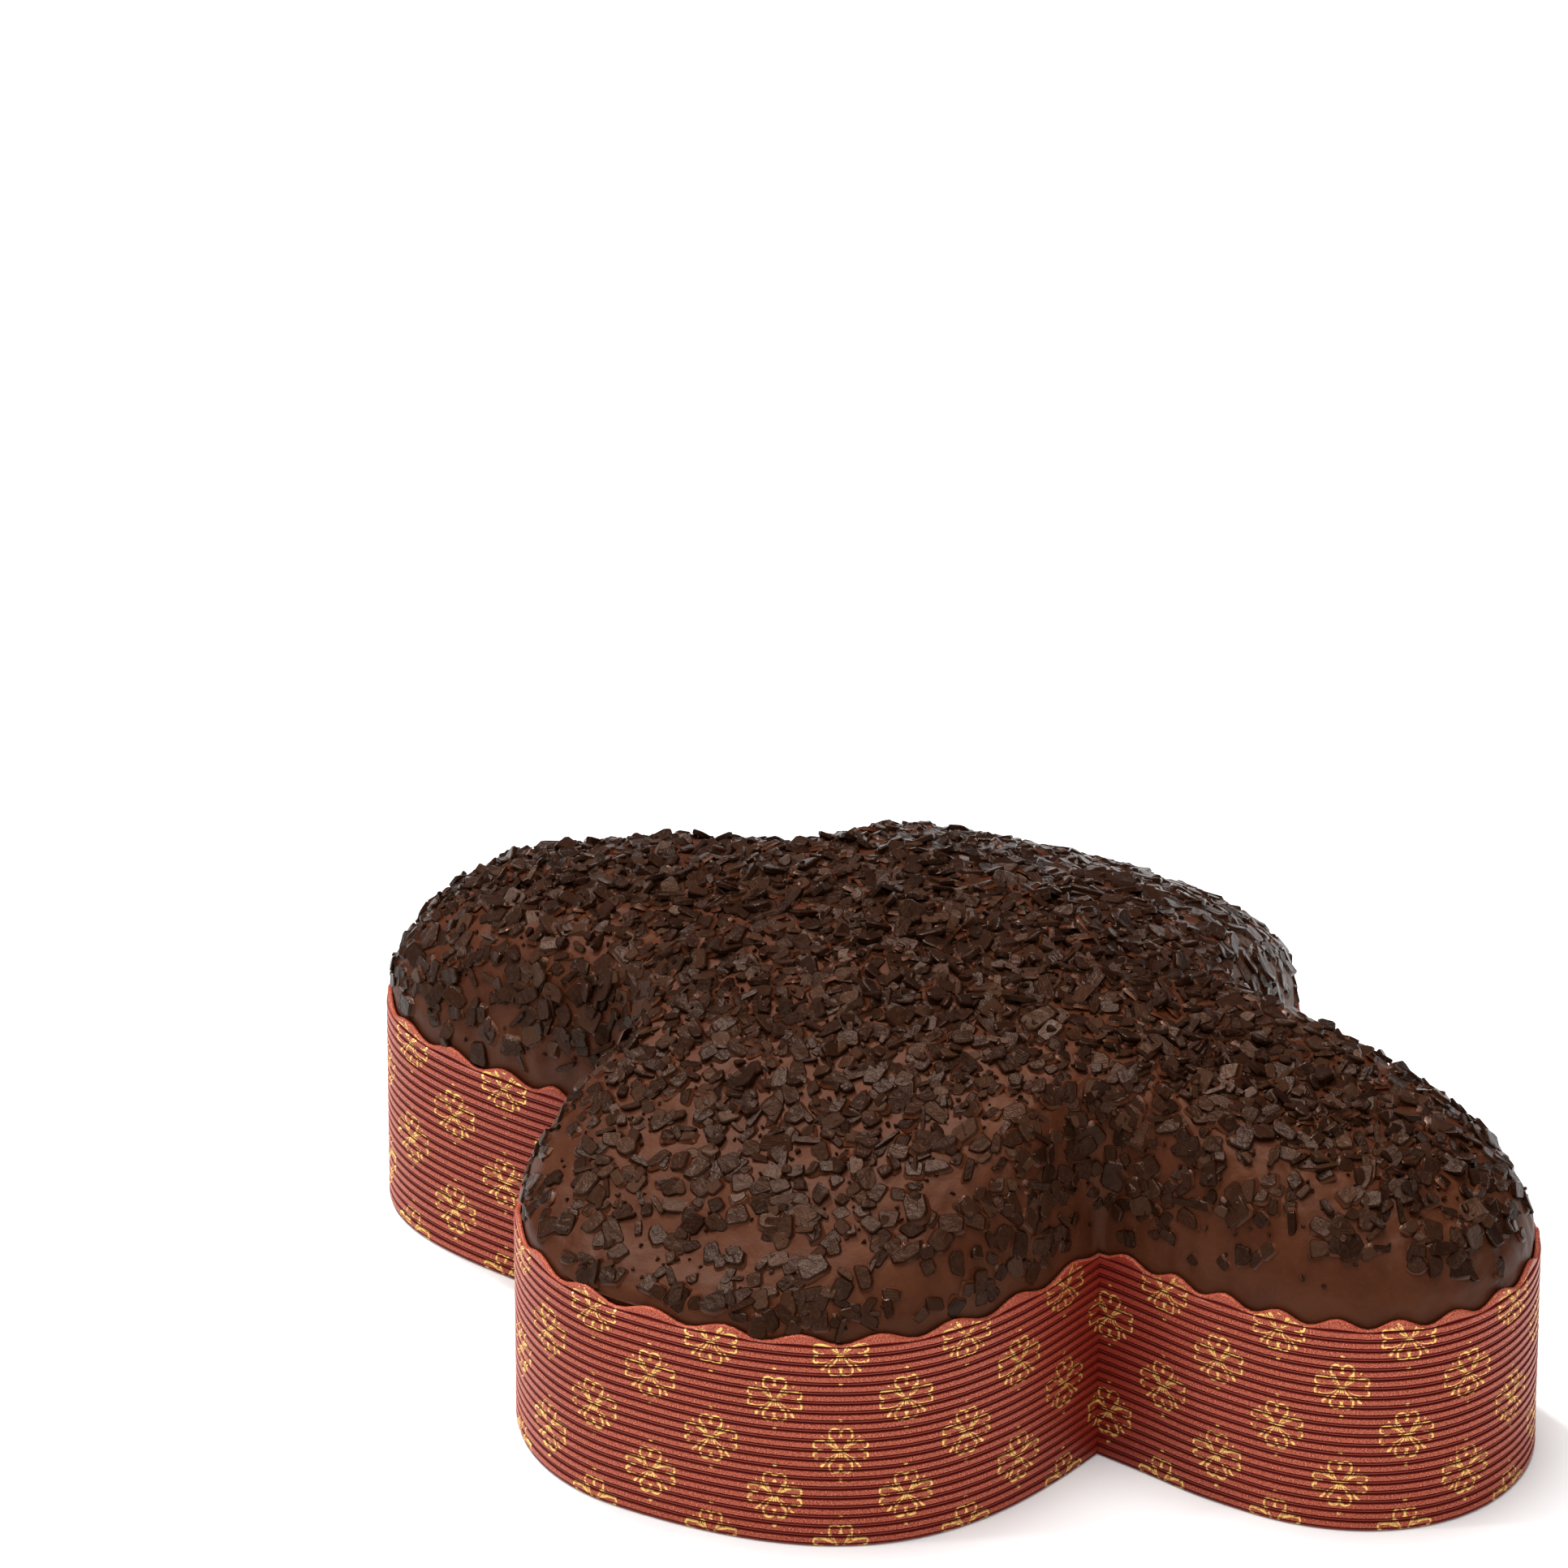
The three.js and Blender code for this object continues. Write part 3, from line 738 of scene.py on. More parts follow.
def paper_finish(case, run):
    """Satin red paper with painted shade in its grooves and beside its folds, a painted reflection on its
    narrow ridges, fine fibres with painted glints, and gold ornaments
    """
    finish = Finish("case_paper")
    place = finish.made("ShaderNodeUVMap", uv_map="wall_place")
    across, up, _ = finish.parts(place)
    spot = finish.spot()
    x, y, z = finish.parts(spot)
    # The third attribute gives how near a fold each point lies, for the painted shade beside the folds
    groove, on_wall, crease = (finish.attribute(name) for name in ("rib_groove", "on_wall", "crease"))
    off_wall = on_wall.short_of(1.0)
    beneath = off_wall * z.over(UNDERSIDE_TOP).short_of(1.0)
    flutes = abs((y / case.rib_pitch).fraction() - 0.5).ramp(0.3, 0.5) * beneath
    depth = groove * on_wall + flutes * 0.6

    along = across * on_wall * FIBRE_STRETCH + x * off_wall
    fibre_place = finish.vector(along, up * on_wall + y * off_wall, z * off_wall)
    fibres = finish.noise(fibre_place, size=0.00016, roughness=0.6)
    blotches = finish.noise(spot, size=0.011, detail=3.0, roughness=0.55)
    paper = rgba(case.paper)
    worn = finish.mix(blotches.ramp(0.35, 0.7), paper, rgba(case.paper, 0.85))
    dusky = finish.mix(fibres.ramp(0.52, 0.34), worn, rgba(case.paper, 0.45))
    # The raised fibres take the bright glint colour: real grain with painted glints
    fibre_glinted = finish.mix(fibres.ramp(0.48, 0.66), dusky, rgba(case.paper_glint))
    # Painted reflection: the narrow ridges and the rows below them take the darker mauve ridge colour
    ridge_reflected = finish.mix(depth.ramp(0.16, 0.3), fibre_glinted, rgba(case.paper_ridge_reflection))
    # Painted shade: beside the folds the colour darkens towards the fold colour, where the lobes shade each
    # other
    fold_shaded = finish.mix(crease * on_wall * 0.85, ridge_reflected, rgba(case.paper_fold_shade))
    grooved = finish.mix(depth.ramp(0.28, 0.55), fold_shaded, rgba(case.paper_shade))

    mask = ornament_mask(across, up, case, run)
    broken = finish.noise(fibre_place, size=0.0005, roughness=0.6).ramp(0.38, 0.5)
    printed = mask * broken * depth.ramp(0.4, 0.62, 1.0, 0.0) * on_wall
    roughness = fibres * 0.25 + 0.3 - printed * 0.08 + depth.ramp(0.2, 0.6) * 0.3
    finish.coat(finish.mix(printed, grooved, rgba(case.gold)), roughness)
    finish.feed(finish.sockets["Metallic"], printed * 0.75)
    finish.gloss(0.45, case.sheen)
    relief = fibres * 0.6 + finish.noise(spot, size=0.0016) - flutes * 3.0
    finish.emboss(relief, strength=0.4, distance=0.0002)
    return finish.material


def glaze_finish(glaze):
    """Dark chocolate glaze with a soft sheen, redder where it is thin"""
    finish = Finish("dark_chocolate_glaze")
    spot = finish.spot()
    clouds = finish.noise(spot, size=0.013, detail=4.0, roughness=0.58)
    specks = finish.noise(spot, size=0.0012, detail=3.0, roughness=0.6)
    tinted = finish.mix(clouds.ramp(0.38, 0.6), rgba(glaze.glaze_shade), rgba(glaze.glaze))
    dusted = finish.mix(specks.ramp(0.5, 0.85) * 0.25, tinted, rgba(glaze.glaze, 1.7))
    collar = finish.attribute("glazed")
    finish.coat(dusted, clouds * 0.2 + specks * 0.08 + 0.36 - collar * 0.22)
    finish.gloss(0.17, glaze.sheen)
    relief = finish.noise(spot, size=0.0035, detail=3.0, roughness=0.6) + specks * 0.15
    finish.emboss(relief, strength=0.6, distance=0.0004)
    return finish.material


def chip_finish(chips):
    """Snapped dark chocolate: each chip its own tone, greyer and matt on top, with painted shade on its
    sides, glossy on its edges
    """
    finish = Finish("chocolate_chip")
    place = finish.attribute("chip_place", "Vector")
    tone, edge = finish.attribute("tone"), finish.attribute("edge")
    shifted = finish.vector_sum(place, finish.vector(*(tone * shift for shift in (0.37, 0.61, 0.17))))
    grain = finish.noise(shifted, size=0.0007, detail=4.0, roughness=0.65)
    bloom = finish.noise(shifted, size=0.0022, detail=3.0, roughness=0.55)
    _, along, _ = finish.parts(shifted)
    scored = ((along / KNIFE_MARK_PITCH + bloom * 1.5).fraction() - 0.5) * 2
    striped = abs(scored) * (tone * 7.3).fraction().over(0.82)

    body = finish.mix(tone.ramp(0.0, 0.75), rgba(chips.darkest), rgba(chips.middle))
    pale = finish.mix(tone.ramp(0.78, 1.0), body, rgba(chips.palest))
    clouded = finish.mix(bloom.ramp(0.5, 0.75) * 0.35, pale, rgba(chips.palest))
    # Painted shade: the sides and chamfers of each chip are darkened towards a dim copy of the middle colour
    side_shaded = finish.mix(edge * 0.75, clouded, rgba(chips.middle, 0.6))
    finish.coat(side_shaded, grain * 0.34 + 0.14 - edge.ramp(0.0, 0.35) * 0.12)
    finish.gloss(0.12, chips.sheen)
    finish.emboss(grain * 0.4 + bloom * 1.8 + striped * 0.12, strength=0.6, distance=0.0004)
    return finish.material


def crust_finish(crust):
    """Baked dough, browner in patches and finely pitted"""
    finish = Finish("baked_crust")
    spot = finish.spot()
    patches = finish.noise(spot, size=0.013, detail=5.0, roughness=0.6)
    pits = finish.noise(spot, size=0.0014, detail=3.0, roughness=0.6)
    baked = finish.mix(patches.ramp(0.3, 0.7), rgba(crust.pale), rgba(crust.baked))
    dotted = finish.mix(pits.ramp(0.55, 0.75) * 0.5, baked, rgba(crust.baked, 0.55))
    finish.coat(dotted, pits * 0.25 + 0.62)
    finish.emboss(pits + patches, strength=0.5, distance=0.0006)
    return finish.material


# Paper case


# Heights of the rings above the ribs, as shares of the way up to the rim, before its edge is rounded
RIM_WAY = (0.3, 0.65)
# Length of the ribs' waver, and the heights between which it sets in
WAVER_LENGTH = 0.034
WAVER_START = (0.002, 0.008)
# Share of a rib that keeps a row on a groove from being counted to the rib below, and the least angle
# of a sharp edge
PHASE_GUARD = 0.0001
CASE_SHARP_ANGLE = math.radians(50)


def case_rings(plan, case):
    """Rings of the case up its ribs, over the rim and down the inside, and how many lie on the ribs"""
    heights = [(rib + phase) * case.rib_pitch for rib in range(case.rib_count) for phase, _ in RIB_PROFILE]
    top = case.rib_count * case.rib_pitch
    heights.append(top)
    rings = [with_height(plan.outline, height) for height in heights]
    low = top + case.rim_inset
    scallop = 0.5 - 0.5 * np.cos(2 * math.pi * np.arange(plan.columns) / CASE_COLUMNS_PER_STEP)
    rim = low + scallop * (case.height - low)
    edge, lip, inner = case.rim_rounding, case.rim_inset, case.wall
    rings += [with_height(plan.inset(lip), top + (rim - top) * way) for way in RIM_WAY]
    for inset, drop in ((lip, edge), (lip + edge, 0.0), (inner - edge, 0.0), (inner, edge)):
        rings.append(with_height(plan.inset(inset), rim - drop))
    rings += [with_height(plan.inset(inner), height) for height in (top, case.height / 2, case.floor)]
    return rings, len(heights)


def case_mesh(plan, case):
    """The closed case, with what its ribs and its finish read"""
    rings, ribbed_rows = case_rings(plan, case)
    rows, columns = len(rings), plan.columns
    index = numbered(rings)
    middles = [[0, 0, 0], [0, 0, case.floor]]
    vertices = np.vstack([*rings, middles])
    bottom, middle = len(vertices) - 2, len(vertices) - 1
    after = np.roll(index, -1, axis=1)
    faces = ring_faces(index).tolist()
    faces += [(bottom, b, a) for a, b in zip(index[0], after[0])]
    faces += [(middle, a, b) for a, b in zip(index[-1], after[-1])]
    mesh = mesh_from("paper_case_wall", vertices, faces)

    def up_the_wall(values):
        """The same values in each row, and none at the two middles"""
        return np.concatenate([np.tile(values, rows), [0, 0]])

    set_place_map(mesh, "wall_place", up_the_wall(plan.run[:-1]), vertices[:, 2])
    inwards = np.stack([up_the_wall(values) for values in (*plan.across.T, np.zeros(columns))], axis=1)
    ribbed = np.arange(len(vertices)) < ribbed_rows * columns
    on_wall = np.arange(len(faces)) < (ribbed_rows + len(RIM_WAY)) * columns
    # How near each column lies to a fold, where the finish paints shade into the paper's colour
    crease = closeness_to_folds(plan.outline, plan.settings, case.fold_shade_reach)
    set_attribute(mesh, "inwards", inwards, "FLOAT_VECTOR")
    set_attribute(mesh, "ribbed", ribbed)
    set_attribute(mesh, "on_wall", on_wall, domain="FACE")
    set_attribute(mesh, "crease", up_the_wall(crease))
    return mesh


def rib_case(piece, case, material):
    """Presses the ribs into the wall, each with a little waver of its own"""
    sizes = {
        "Rib Pitch": case.rib_pitch,
        "Rib Depth": case.rib_depth,
        "Rib Waver": case.rib_waver,
        "Waver Length": WAVER_LENGTH,
        "Material": material,
    }
    rule = NodeRule("case_ribs", sizes)
    position = rule.made("GeometryNodeInputPosition")
    height = rule.parts(position)[2]
    phase = (height / rule.given("Rib Pitch") + PHASE_GUARD).fraction()
    curve = rule.node("ShaderNodeFloatCurve", {"Value": phase})
    line = curve.mapping.curves[0]
    line.points[0].location = RIB_PROFILE[0]
    line.points[1].location = (1.0, 1.0)
    for point in RIB_PROFILE[1:]:
        line.points.new(*point)
    for point in line.points:
        point.handle_type = "VECTOR"
    curve.mapping.update()
    ribbed = rule.attribute("ribbed")
    groove = Value(rule, curve.outputs[0]) * ribbed
    stored = rule.stored(rule.given("Geometry"), "rib_groove", groove, "POINT")
    waver = rule.swell(position, rule.given("Waver Length"), detail=1.0)
    stray = (waver - 0.5) * rule.given("Rib Waver") * 2.0
    clear = height.ramp(*WAVER_START)
    depth = ribbed * (groove * rule.given("Rib Depth") + abs(stray) * clear)
    pressed = rule.scaled(rule.attribute("inwards", "FLOAT_VECTOR"), depth)
    lift = rule.vector(0.0, 0.0, stray * clear * ribbed)
    rule.put_on(piece, rule.finish(rule.moved(stored, rule.vector_sum(pressed, lift))))


def build_paper_case(context):
    case = context.scene.colomba_case
    plan = Plan(context.scene.colomba_plan, CASE_COLUMNS_PER_STEP)
    piece = add_object("paper_case_wall", case_mesh(plan, case))
    rib_case(piece, case, paper_finish(case, plan.run[-1]))
    piece.data.shade_smooth()
    piece.data.set_sharp_from_angle(angle=CASE_SHARP_ANGLE)
    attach(piece, "root")
    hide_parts("paper_case")


# Glaze


# Rings of the glaze: how far below the rim's top those inside the case lie, after the tucked edge, and
# the steps over the lip, the rings up the side and those from there to the line of the back
TUCKED_DROPS = (0.0028, 0.0012)
RIM_ROWS = 1 + len(TUCKED_DROPS)
LIP_STEPS = 4
SIDE_ROWS = 14
CROWN_ROWS = 60
# Rows of the outside between one row of the underside and the next
UNDERSIDE_STEP = 15
# Length behind the neck over which the head's cover of chips blends in, share of the way to the back
# where the chips begin to crowd, and stretch of the runs down the side
HEAD_BLEND = 0.025
CROWD_START = 0.08
RUN_STRETCH = 0.16


def glaze_rings(plan, case, glaze):
    """Rings of the glaze from its tucked edge up the outside to the line of the back"""

    def dome(points):
        return with_height(points, dome_height(points, plan, glaze, case))

    tucked = case.wall + glaze.gap
    wall = plan.inset(tucked)
    rings = [with_height(wall, case.height - drop) for drop in (glaze.skirt_depth, *TUCKED_DROPS)]
    first = dome(wall)
    rings += [rings[-1] + (first - rings[-1]) * step / LIP_STEPS for step in range(1, LIP_STEPS)]
    turns = np.linspace(0, math.pi / 2, SIDE_ROWS)
    for inset in tucked + (glaze.crown_inset - tucked) * (1 - np.cos(turns)):
        rings.append(dome(plan.inset(inset)))
    crown = plan.inset(glaze.crown_inset)
    for step in range(1, CROWN_ROWS + 1):
        rings.append(dome(crown + (plan.back - crown) * step / CROWN_ROWS))
    return np.array(rings)


def ring_normals(grid):
    """Outward unit normals on a grid of rings"""
    around = np.roll(grid, -1, axis=1) - np.roll(grid, 1, axis=1)
    normal = np.cross(around, np.gradient(grid, axis=0))
    return normal / np.maximum(np.linalg.norm(normal, axis=2, keepdims=True), 1e-12)


def glaze_underside(plan, outside, glaze, case):
    """Rings of the glaze's underside from the back down to its edge"""
    normals = ring_normals(outside)
    last = len(outside) - 1
    rows = range(last, last - CROWN_ROWS - 1, -UNDERSIDE_STEP)
    under = [outside[row] - normals[row] * glaze.thickness for row in rows]
    under[0] = outside[last] - (0, 0, glaze.thickness)
    tucked = case.wall + glaze.gap + glaze.thickness
    under.append(with_height(plan.inset(tucked), case.height - glaze.skirt_depth))
    return np.array(under)


def set_glaze_fields(mesh, plan, chips, rings, kept):
    """What the relief and the chips read: the way up from the rim, and how dense the chips lie"""
    under, outside = rings
    columns = plan.columns
    steps = np.linalg.norm(np.diff(outside[RIM_ROWS - 1:], axis=0), axis=2)
    hidden = np.zeros((len(under), columns))
    path = np.vstack([np.zeros((RIM_ROWS, columns)), np.cumsum(steps, axis=0)])
    way = np.vstack([hidden, path / path[-1]]).ravel()[kept]
    path = np.vstack([hidden, path]).ravel()[kept]
    foot = np.tile(with_height(plan.outline, 0.0), (len(under) + len(outside), 1))[kept]
    foot[:, 2] = path
    shown = kept >= (len(under) + RIM_ROWS - 1) * columns

    x = np.vstack(rings).reshape(-1, 3)[kept, 0]
    head = [plan.settings.neck_x - HEAD_BLEND, plan.settings.head_wide_x]
    headward = np.interp(x, head, [0, 1])
    full, side, bare = (
        getattr(chips, name) * (1 - headward) + getattr(chips, name + "_head") * headward
        for name in ("full_share", "side_cover", "bare_band")
    )
    crowd = np.clip((way - CROWD_START) / (full - CROWD_START), 0, 1)
    cover = (side + (1 - side) * crowd) * np.clip(path / bare - 1, 0, 1)
    fields = {"relief": shown, "way": way, "crowd": crowd, "cover": cover}
    for name, values in fields.items():
        set_attribute(mesh, name, values)
    set_attribute(mesh, "foot", foot, "FLOAT_VECTOR")


def glaze_mesh(plan, rings):
    """The glaze closed along its back, and the numbers of the ring points that it keeps"""
    index = numbered(np.vstack(rings))
    order = np.arange(plan.columns)
    folded = np.where(order <= plan.columns // 2, order, plan.columns - order)
    for row in (0, -1):
        index[row] = index[row][folded]
    faces = ring_faces(index)
    kept, renumbered = np.unique(faces, return_inverse=True)
    faces = [drop_repeats(face) for face in renumbered.reshape(faces.shape).tolist()]
    vertices = np.vstack(rings).reshape(-1, 3)[kept]
    return mesh_from("chocolate_glaze", vertices, [face for face in faces if len(face) > 2]), kept


def swell_glaze(piece, glaze):
    """Gives the glaze its lumps, its fine ripples and the runs down its side"""
    sizes = {
        "Lump Height": glaze.lump_height,
        "Lump Size": glaze.lump_size,
        "Run Height": glaze.drip_height,
        "Run Width": glaze.drip_width,
        "Ripple Height": glaze.ripple_height,
        "Ripple Size": glaze.ripple_size,
        "Material": glaze_finish(glaze),
    }
    rule = NodeRule("glaze_relief", sizes)
    position = rule.made("GeometryNodeInputPosition")
    across, beside, down = rule.parts(rule.attribute("foot", "FLOAT_VECTOR"))
    run_place = rule.vector(across, beside, down * RUN_STRETCH)

    def relief(place, size, height, detail):
        swell = rule.swell(place, rule.given(size), detail)
        return (swell - 0.5) * rule.given(height) * 2.0

    lumps = relief(position, "Lump Size", "Lump Height", 2.0)
    ripples = relief(position, "Ripple Size", "Ripple Height", 2.0)
    runs = relief(run_place, "Run Width", "Run Height", 1.0)
    low_side = rule.attribute("way").ramp(0.1, 0.5, 1.0, 0.15)
    edge = rule.attribute("way").ramp(0.0, 0.05, 0.15, 1.0)
    height = (lumps + ripples + runs * low_side) * rule.attribute("relief") * edge
    moved = rule.scaled(rule.made("GeometryNodeInputNormal"), height)
    rule.put_on(piece, rule.finish(rule.moved(rule.given("Geometry"), moved)))


def build_glaze(context):
    scene = context.scene
    case, glaze = scene.colomba_case, scene.colomba_glaze
    plan = Plan(scene.colomba_plan, GLAZE_COLUMNS_PER_STEP)
    outside = glaze_rings(plan, case, glaze)
    rings = (glaze_underside(plan, outside, glaze, case), outside)
    mesh, kept = glaze_mesh(plan, rings)
    set_glaze_fields(mesh, plan, scene.colomba_chips, rings, kept)
    piece = add_object("chocolate_glaze", mesh)
    swell_glaze(piece, glaze)
    piece.data.shade_smooth()
    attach(piece, "root")
    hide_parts("chocolate_coating")


# Chips


# A flake's outline: how far its corners stray, how much of a side is snapped off or worn away
CORNER_STRAY = 0.13
SNAPPED_SHARE = (0.2, 0.4)
WORN_SHARE = 0.17
# How far outside a flake and how high each ring of its collar lies, and how far inside a bare foot
COLLAR_RINGS = ((0.0006, -0.0004), (0.0001, 0.0002))
FOOT_INSET = 0.0002
# A flake's top: its slope at most, its bevel and that as a share of the thickness, and its unevenness
TOP_SLOPE = 0.06
BEVEL, BEVEL_SHARE = 0.0003, 0.25
TOP_UNEVENNESS = 0.03
# A crumb: the stray of its four corners, the least and most of its reach, top and height, and how
# much of its height is sunk
CRUMB_STRAY = 0.3
CRUMB_REACH, CRUMB_TOP, CRUMB_HEIGHT = (0.6, 1.0), (0.4, 0.7), (0.3, 0.55)
CRUMB_SUNK = 0.6
CHIP_SHARP_ANGLE = math.radians(36)


def worn_corner(points, corner, cut):
    """A polygon with one corner cut off at a share of the sides that meet there"""
    before, after = points[corner - 1], points[(corner + 1) % len(points)]
    ends = points[corner] + np.array([before - points[corner], after - points[corner]]) * cut
    return np.vstack([points[:corner], ends, points[corner + 1:]])


def plate_outline(random, corners, size):
    """A rough rectangle, with corners snapped off where it has more than four, and all of them worn"""
    square = np.array([(-1, -1), (1, -1), (1, 1), (-1, 1)]) / 2
    points = (square + random.uniform(-CORNER_STRAY, CORNER_STRAY, (4, 2))) * size
    for corner in range(corners - 4):
        points = worn_corner(points, 2 * corner, random.uniform(*SNAPPED_SHARE))
    for corner in range(len(points)):
        points = worn_corner(points, 2 * corner, WORN_SHARE)
    return points


def chip_shape(name, rings, edge, collar_rows=0):
    """A closed shape from its rings, with what its finish reads"""
    index = numbered(rings)
    faces = ring_faces(index).tolist() + [index[0][::-1].tolist(), index[-1].tolist()]
    vertices = np.vstack(rings)
    mesh = mesh_from(name, vertices, faces)
    columns = len(rings[0])
    set_attribute(mesh, "chip_place", vertices, "FLOAT_VECTOR")
    set_attribute(mesh, "edge", np.repeat(edge, columns))
    set_attribute(mesh, "glazed", np.arange(len(faces)) < collar_rows * columns, domain="FACE")
    return mesh


def flake_mesh(name, random, kind):
    """A flat flake with chamfered edges; some kinds have a low collar of glaze round the foot"""
    size = (random.uniform(*kind.lengths), random.uniform(*kind.widths))
    corners = int(random.integers(4, kind.most_corners + 1))
    thickness = random.uniform(*kind.thickness)
    plate = plate_outline(random, corners, size)
    slope = random.uniform(-TOP_SLOPE, TOP_SLOPE, 2)
    bevel = min(BEVEL, thickness * BEVEL_SHARE)

    def ring(spread, height):
        points = plate * (1 + spread / np.linalg.norm(plate, axis=1))[:, None]
        return with_height(points, height + points @ slope)

    rings = [ring(*collar) for collar in COLLAR_RINGS] if kind.collar else [ring(-FOOT_INSET, -kind.sunk)]
    collar_rows = len(rings) - 1
    rings.append(ring(0.0, thickness - kind.sunk - bevel))
    top = ring(-bevel, thickness - kind.sunk)
    top[:, 2] += random.normal(0, thickness * TOP_UNEVENNESS, len(top))
    rings.append(top)
    return chip_shape(name, rings, [1.0] * (len(rings) - 1) + [0.0], collar_rows)


def crumb_mesh(name, random, kind):
    """A small broken lump"""
    size = random.uniform(*kind.lengths)
    turn = (np.arange(4) + random.uniform(-CRUMB_STRAY, CRUMB_STRAY, 4)) / 4 * 2 * math.pi
    reach = random.uniform(*CRUMB_REACH, 4)[:, None]
    middle = np.stack([np.cos(turn), np.sin(turn)], axis=1) * reach * size / 2
    top = middle * random.uniform(*CRUMB_TOP)
    height = size * random.uniform(*CRUMB_HEIGHT)
    foot, waist = -height * CRUMB_SUNK, height * (1 - CRUMB_SUNK)
    rings = [with_height(middle, foot), with_height(middle, waist), with_height(top, height)]
    return chip_shape(name, rings, [1.0, 0.6, 0.0])


@dataclass
class ChipKind:
    """One kind of chip, in metres and radians

    Its spacing names the setting for the least distance between two. Its tilts are the most on the side
    and on the crown, its lift is the one on the crown, and its side share is how dense it lies low down.
    """

    spacing: str
    seed: int
    lengths: tuple
    tilts: tuple
    lift: float
    side_share: float
    widths: tuple = ()
    thickness: tuple = ()
    sunk: float = 0.0
    collar: bool = False
    most_corners: int = 5
    shape: object = flake_mesh


CHIP_KINDS = {
    "broad_chips": ChipKind(
        "broad_spacing", 1, (0.0040, 0.0062), (0.14, 0.42), lift=0.0002, side_share=0.7,
        widths=(0.0031, 0.0047), thickness=(0.0012, 0.0018), sunk=0.0008, collar=True,
    ),
    "small_chips": ChipKind(
        "small_spacing", 2, (0.0024, 0.0042), (0.18, 0.5), lift=0.0003, side_share=0.6,
        widths=(0.0018, 0.0032), thickness=(0.0010, 0.0014), sunk=0.0006, collar=True,
    ),
    "upper_chips": ChipKind(
        "upper_spacing", 3, (0.0038, 0.0060), (0.2, 0.75), lift=0.0012, side_share=0.15,
        widths=(0.0028, 0.0044), thickness=(0.0010, 0.0016), sunk=0.0005,
    ),
    "upper_small_chips": ChipKind(
        "upper_small_spacing", 6, (0.0024, 0.0042), (0.2, 0.75), lift=0.0011, side_share=0.2,
        widths=(0.0018, 0.0030), thickness=(0.0009, 0.0014), sunk=0.0004,
    ),
    "slivers": ChipKind(
        "sliver_spacing", 4, (0.0032, 0.0056), (0.15, 0.6), lift=0.0008, side_share=0.35,
        widths=(0.0010, 0.0016), thickness=(0.0009, 0.0013), sunk=0.0004, most_corners=4,
    ),
    "crumbs": ChipKind(
        "crumb_spacing", 5, (0.0008, 0.0017), (0.4, 1.2), lift=0.0007, side_share=0.15, shape=crumb_mesh
    ),
}
VARIANTS = 14
# Share of the chips that thin places keep, and the chips' least share of their lift
THIN_PLACES = 0.7
LEAST_LIFT = 0.3
# How much a shape is stretched: the least, and how much more at most
LEAST_STRETCH, MORE_STRETCH = 0.78, 0.45
# Chips for each square of their least distance, before those too near each other are dropped
CHIPS_PER_SQUARE = 1.8


def chip_library(name, kind, random):
    """Shapes that one kind of chip is picked from, in a collection of their own"""
    library = bpy.data.collections.new(name + "_shapes")
    bpy.context.scene.collection.children.link(library)
    for number in range(VARIANTS):
        mesh = kind.shape(f"{name}_shape_{number}", random, kind)
        library.objects.link(bpy.data.objects.new(mesh.name, mesh))
    return library


def scatter(name, library, surface, sizes):
    """A piece of chips spread over the glaze by a rule, made real"""
    rule = NodeRule("scatter_" + name, {"Shapes": library, **sizes})
    cover, crowd, low = rule.attribute("cover"), rule.attribute("crowd"), rule.given("Side Share")
    position = rule.made("GeometryNodeInputPosition")
    crowded = rule.swell(position, rule.given("Cluster Size"), detail=1.0).ramp(0.42, 0.56)
    thinned = crowded + crowded.short_of(1.0) * THIN_PLACES
    density = cover * (crowd * low.short_of(1.0) + low) * thinned
    outside = rule.made(
        "GeometryNodeSeparateGeometry",
        {"Geometry": rule.given("Geometry"), "Selection": rule.attribute("relief").over(0.5)},
        domain="FACE",
    )
    points = rule.node(
        "GeometryNodeDistributePointsOnFaces",
        {
            "Mesh": outside,
            "Distance Min": rule.given("Spacing"),
            "Density Max": rule.given("Most Per Area"),
            "Density Factor": density,
            "Seed": rule.given("Seed"),
        },
        distribute_method="POISSON",
    )
    spots, upright, facing = (Value(rule, output) for output in points.outputs)
    lift = (rule.chance(1) * (1 - LEAST_LIFT) + LEAST_LIFT) * rule.given("Lift") * crowd
    raised = rule.moved(spots, rule.scaled(upright, lift))
    most_tilt = crowd * (rule.given("Crown Tilt") - rule.given("Side Tilt")) + rule.given("Side Tilt")
    tilts = [(rule.chance(salt) - 0.5) * most_tilt * 2.0 for salt in (2, 3)]
    spin = rule.chance(4) * (2 * math.pi)
    turned = rule.made("FunctionNodeEulerToRotation", {0: rule.vector(*tilts, spin)})
    rotation = rule.made(
        "FunctionNodeRotateRotation", {"Rotation": facing, "Rotate By": turned}, rotation_space="LOCAL"
    )
    along, across = (rule.chance(salt) * MORE_STRETCH + LEAST_STRETCH for salt in (5, 6))
    shapes = rule.made(
        "GeometryNodeCollectionInfo",
        {"Collection": rule.given("Shapes"), "Separate Children": True, "Reset Children": True},
    )
    laid = rule.made(
        "GeometryNodeInstanceOnPoints",
        {
            "Points": raised,
            "Instance": shapes,
            "Pick Instance": True,
            "Rotation": rotation,
            "Scale": rule.vector(along, across, along),
        },
    )
    dressed = rule.finish(rule.stored(laid, "tone", rule.chance(7), "INSTANCE"))
    if "Glaze" in sizes:
        glazed = {"Selection": rule.attribute("glazed").over(0.5), "Material": rule.given("Glaze")}
        dressed = rule.made("GeometryNodeSetMaterial", {"Geometry": dressed, **glazed})
    piece = add_object(name, surface.data.copy())
    rule.put_on(piece, dressed)
    return piece


def clear_library(library):
    for shape in list(library.objects):
        mesh = shape.data
        bpy.data.objects.remove(shape)
        bpy.data.meshes.remove(mesh)
    bpy.data.collections.remove(library)


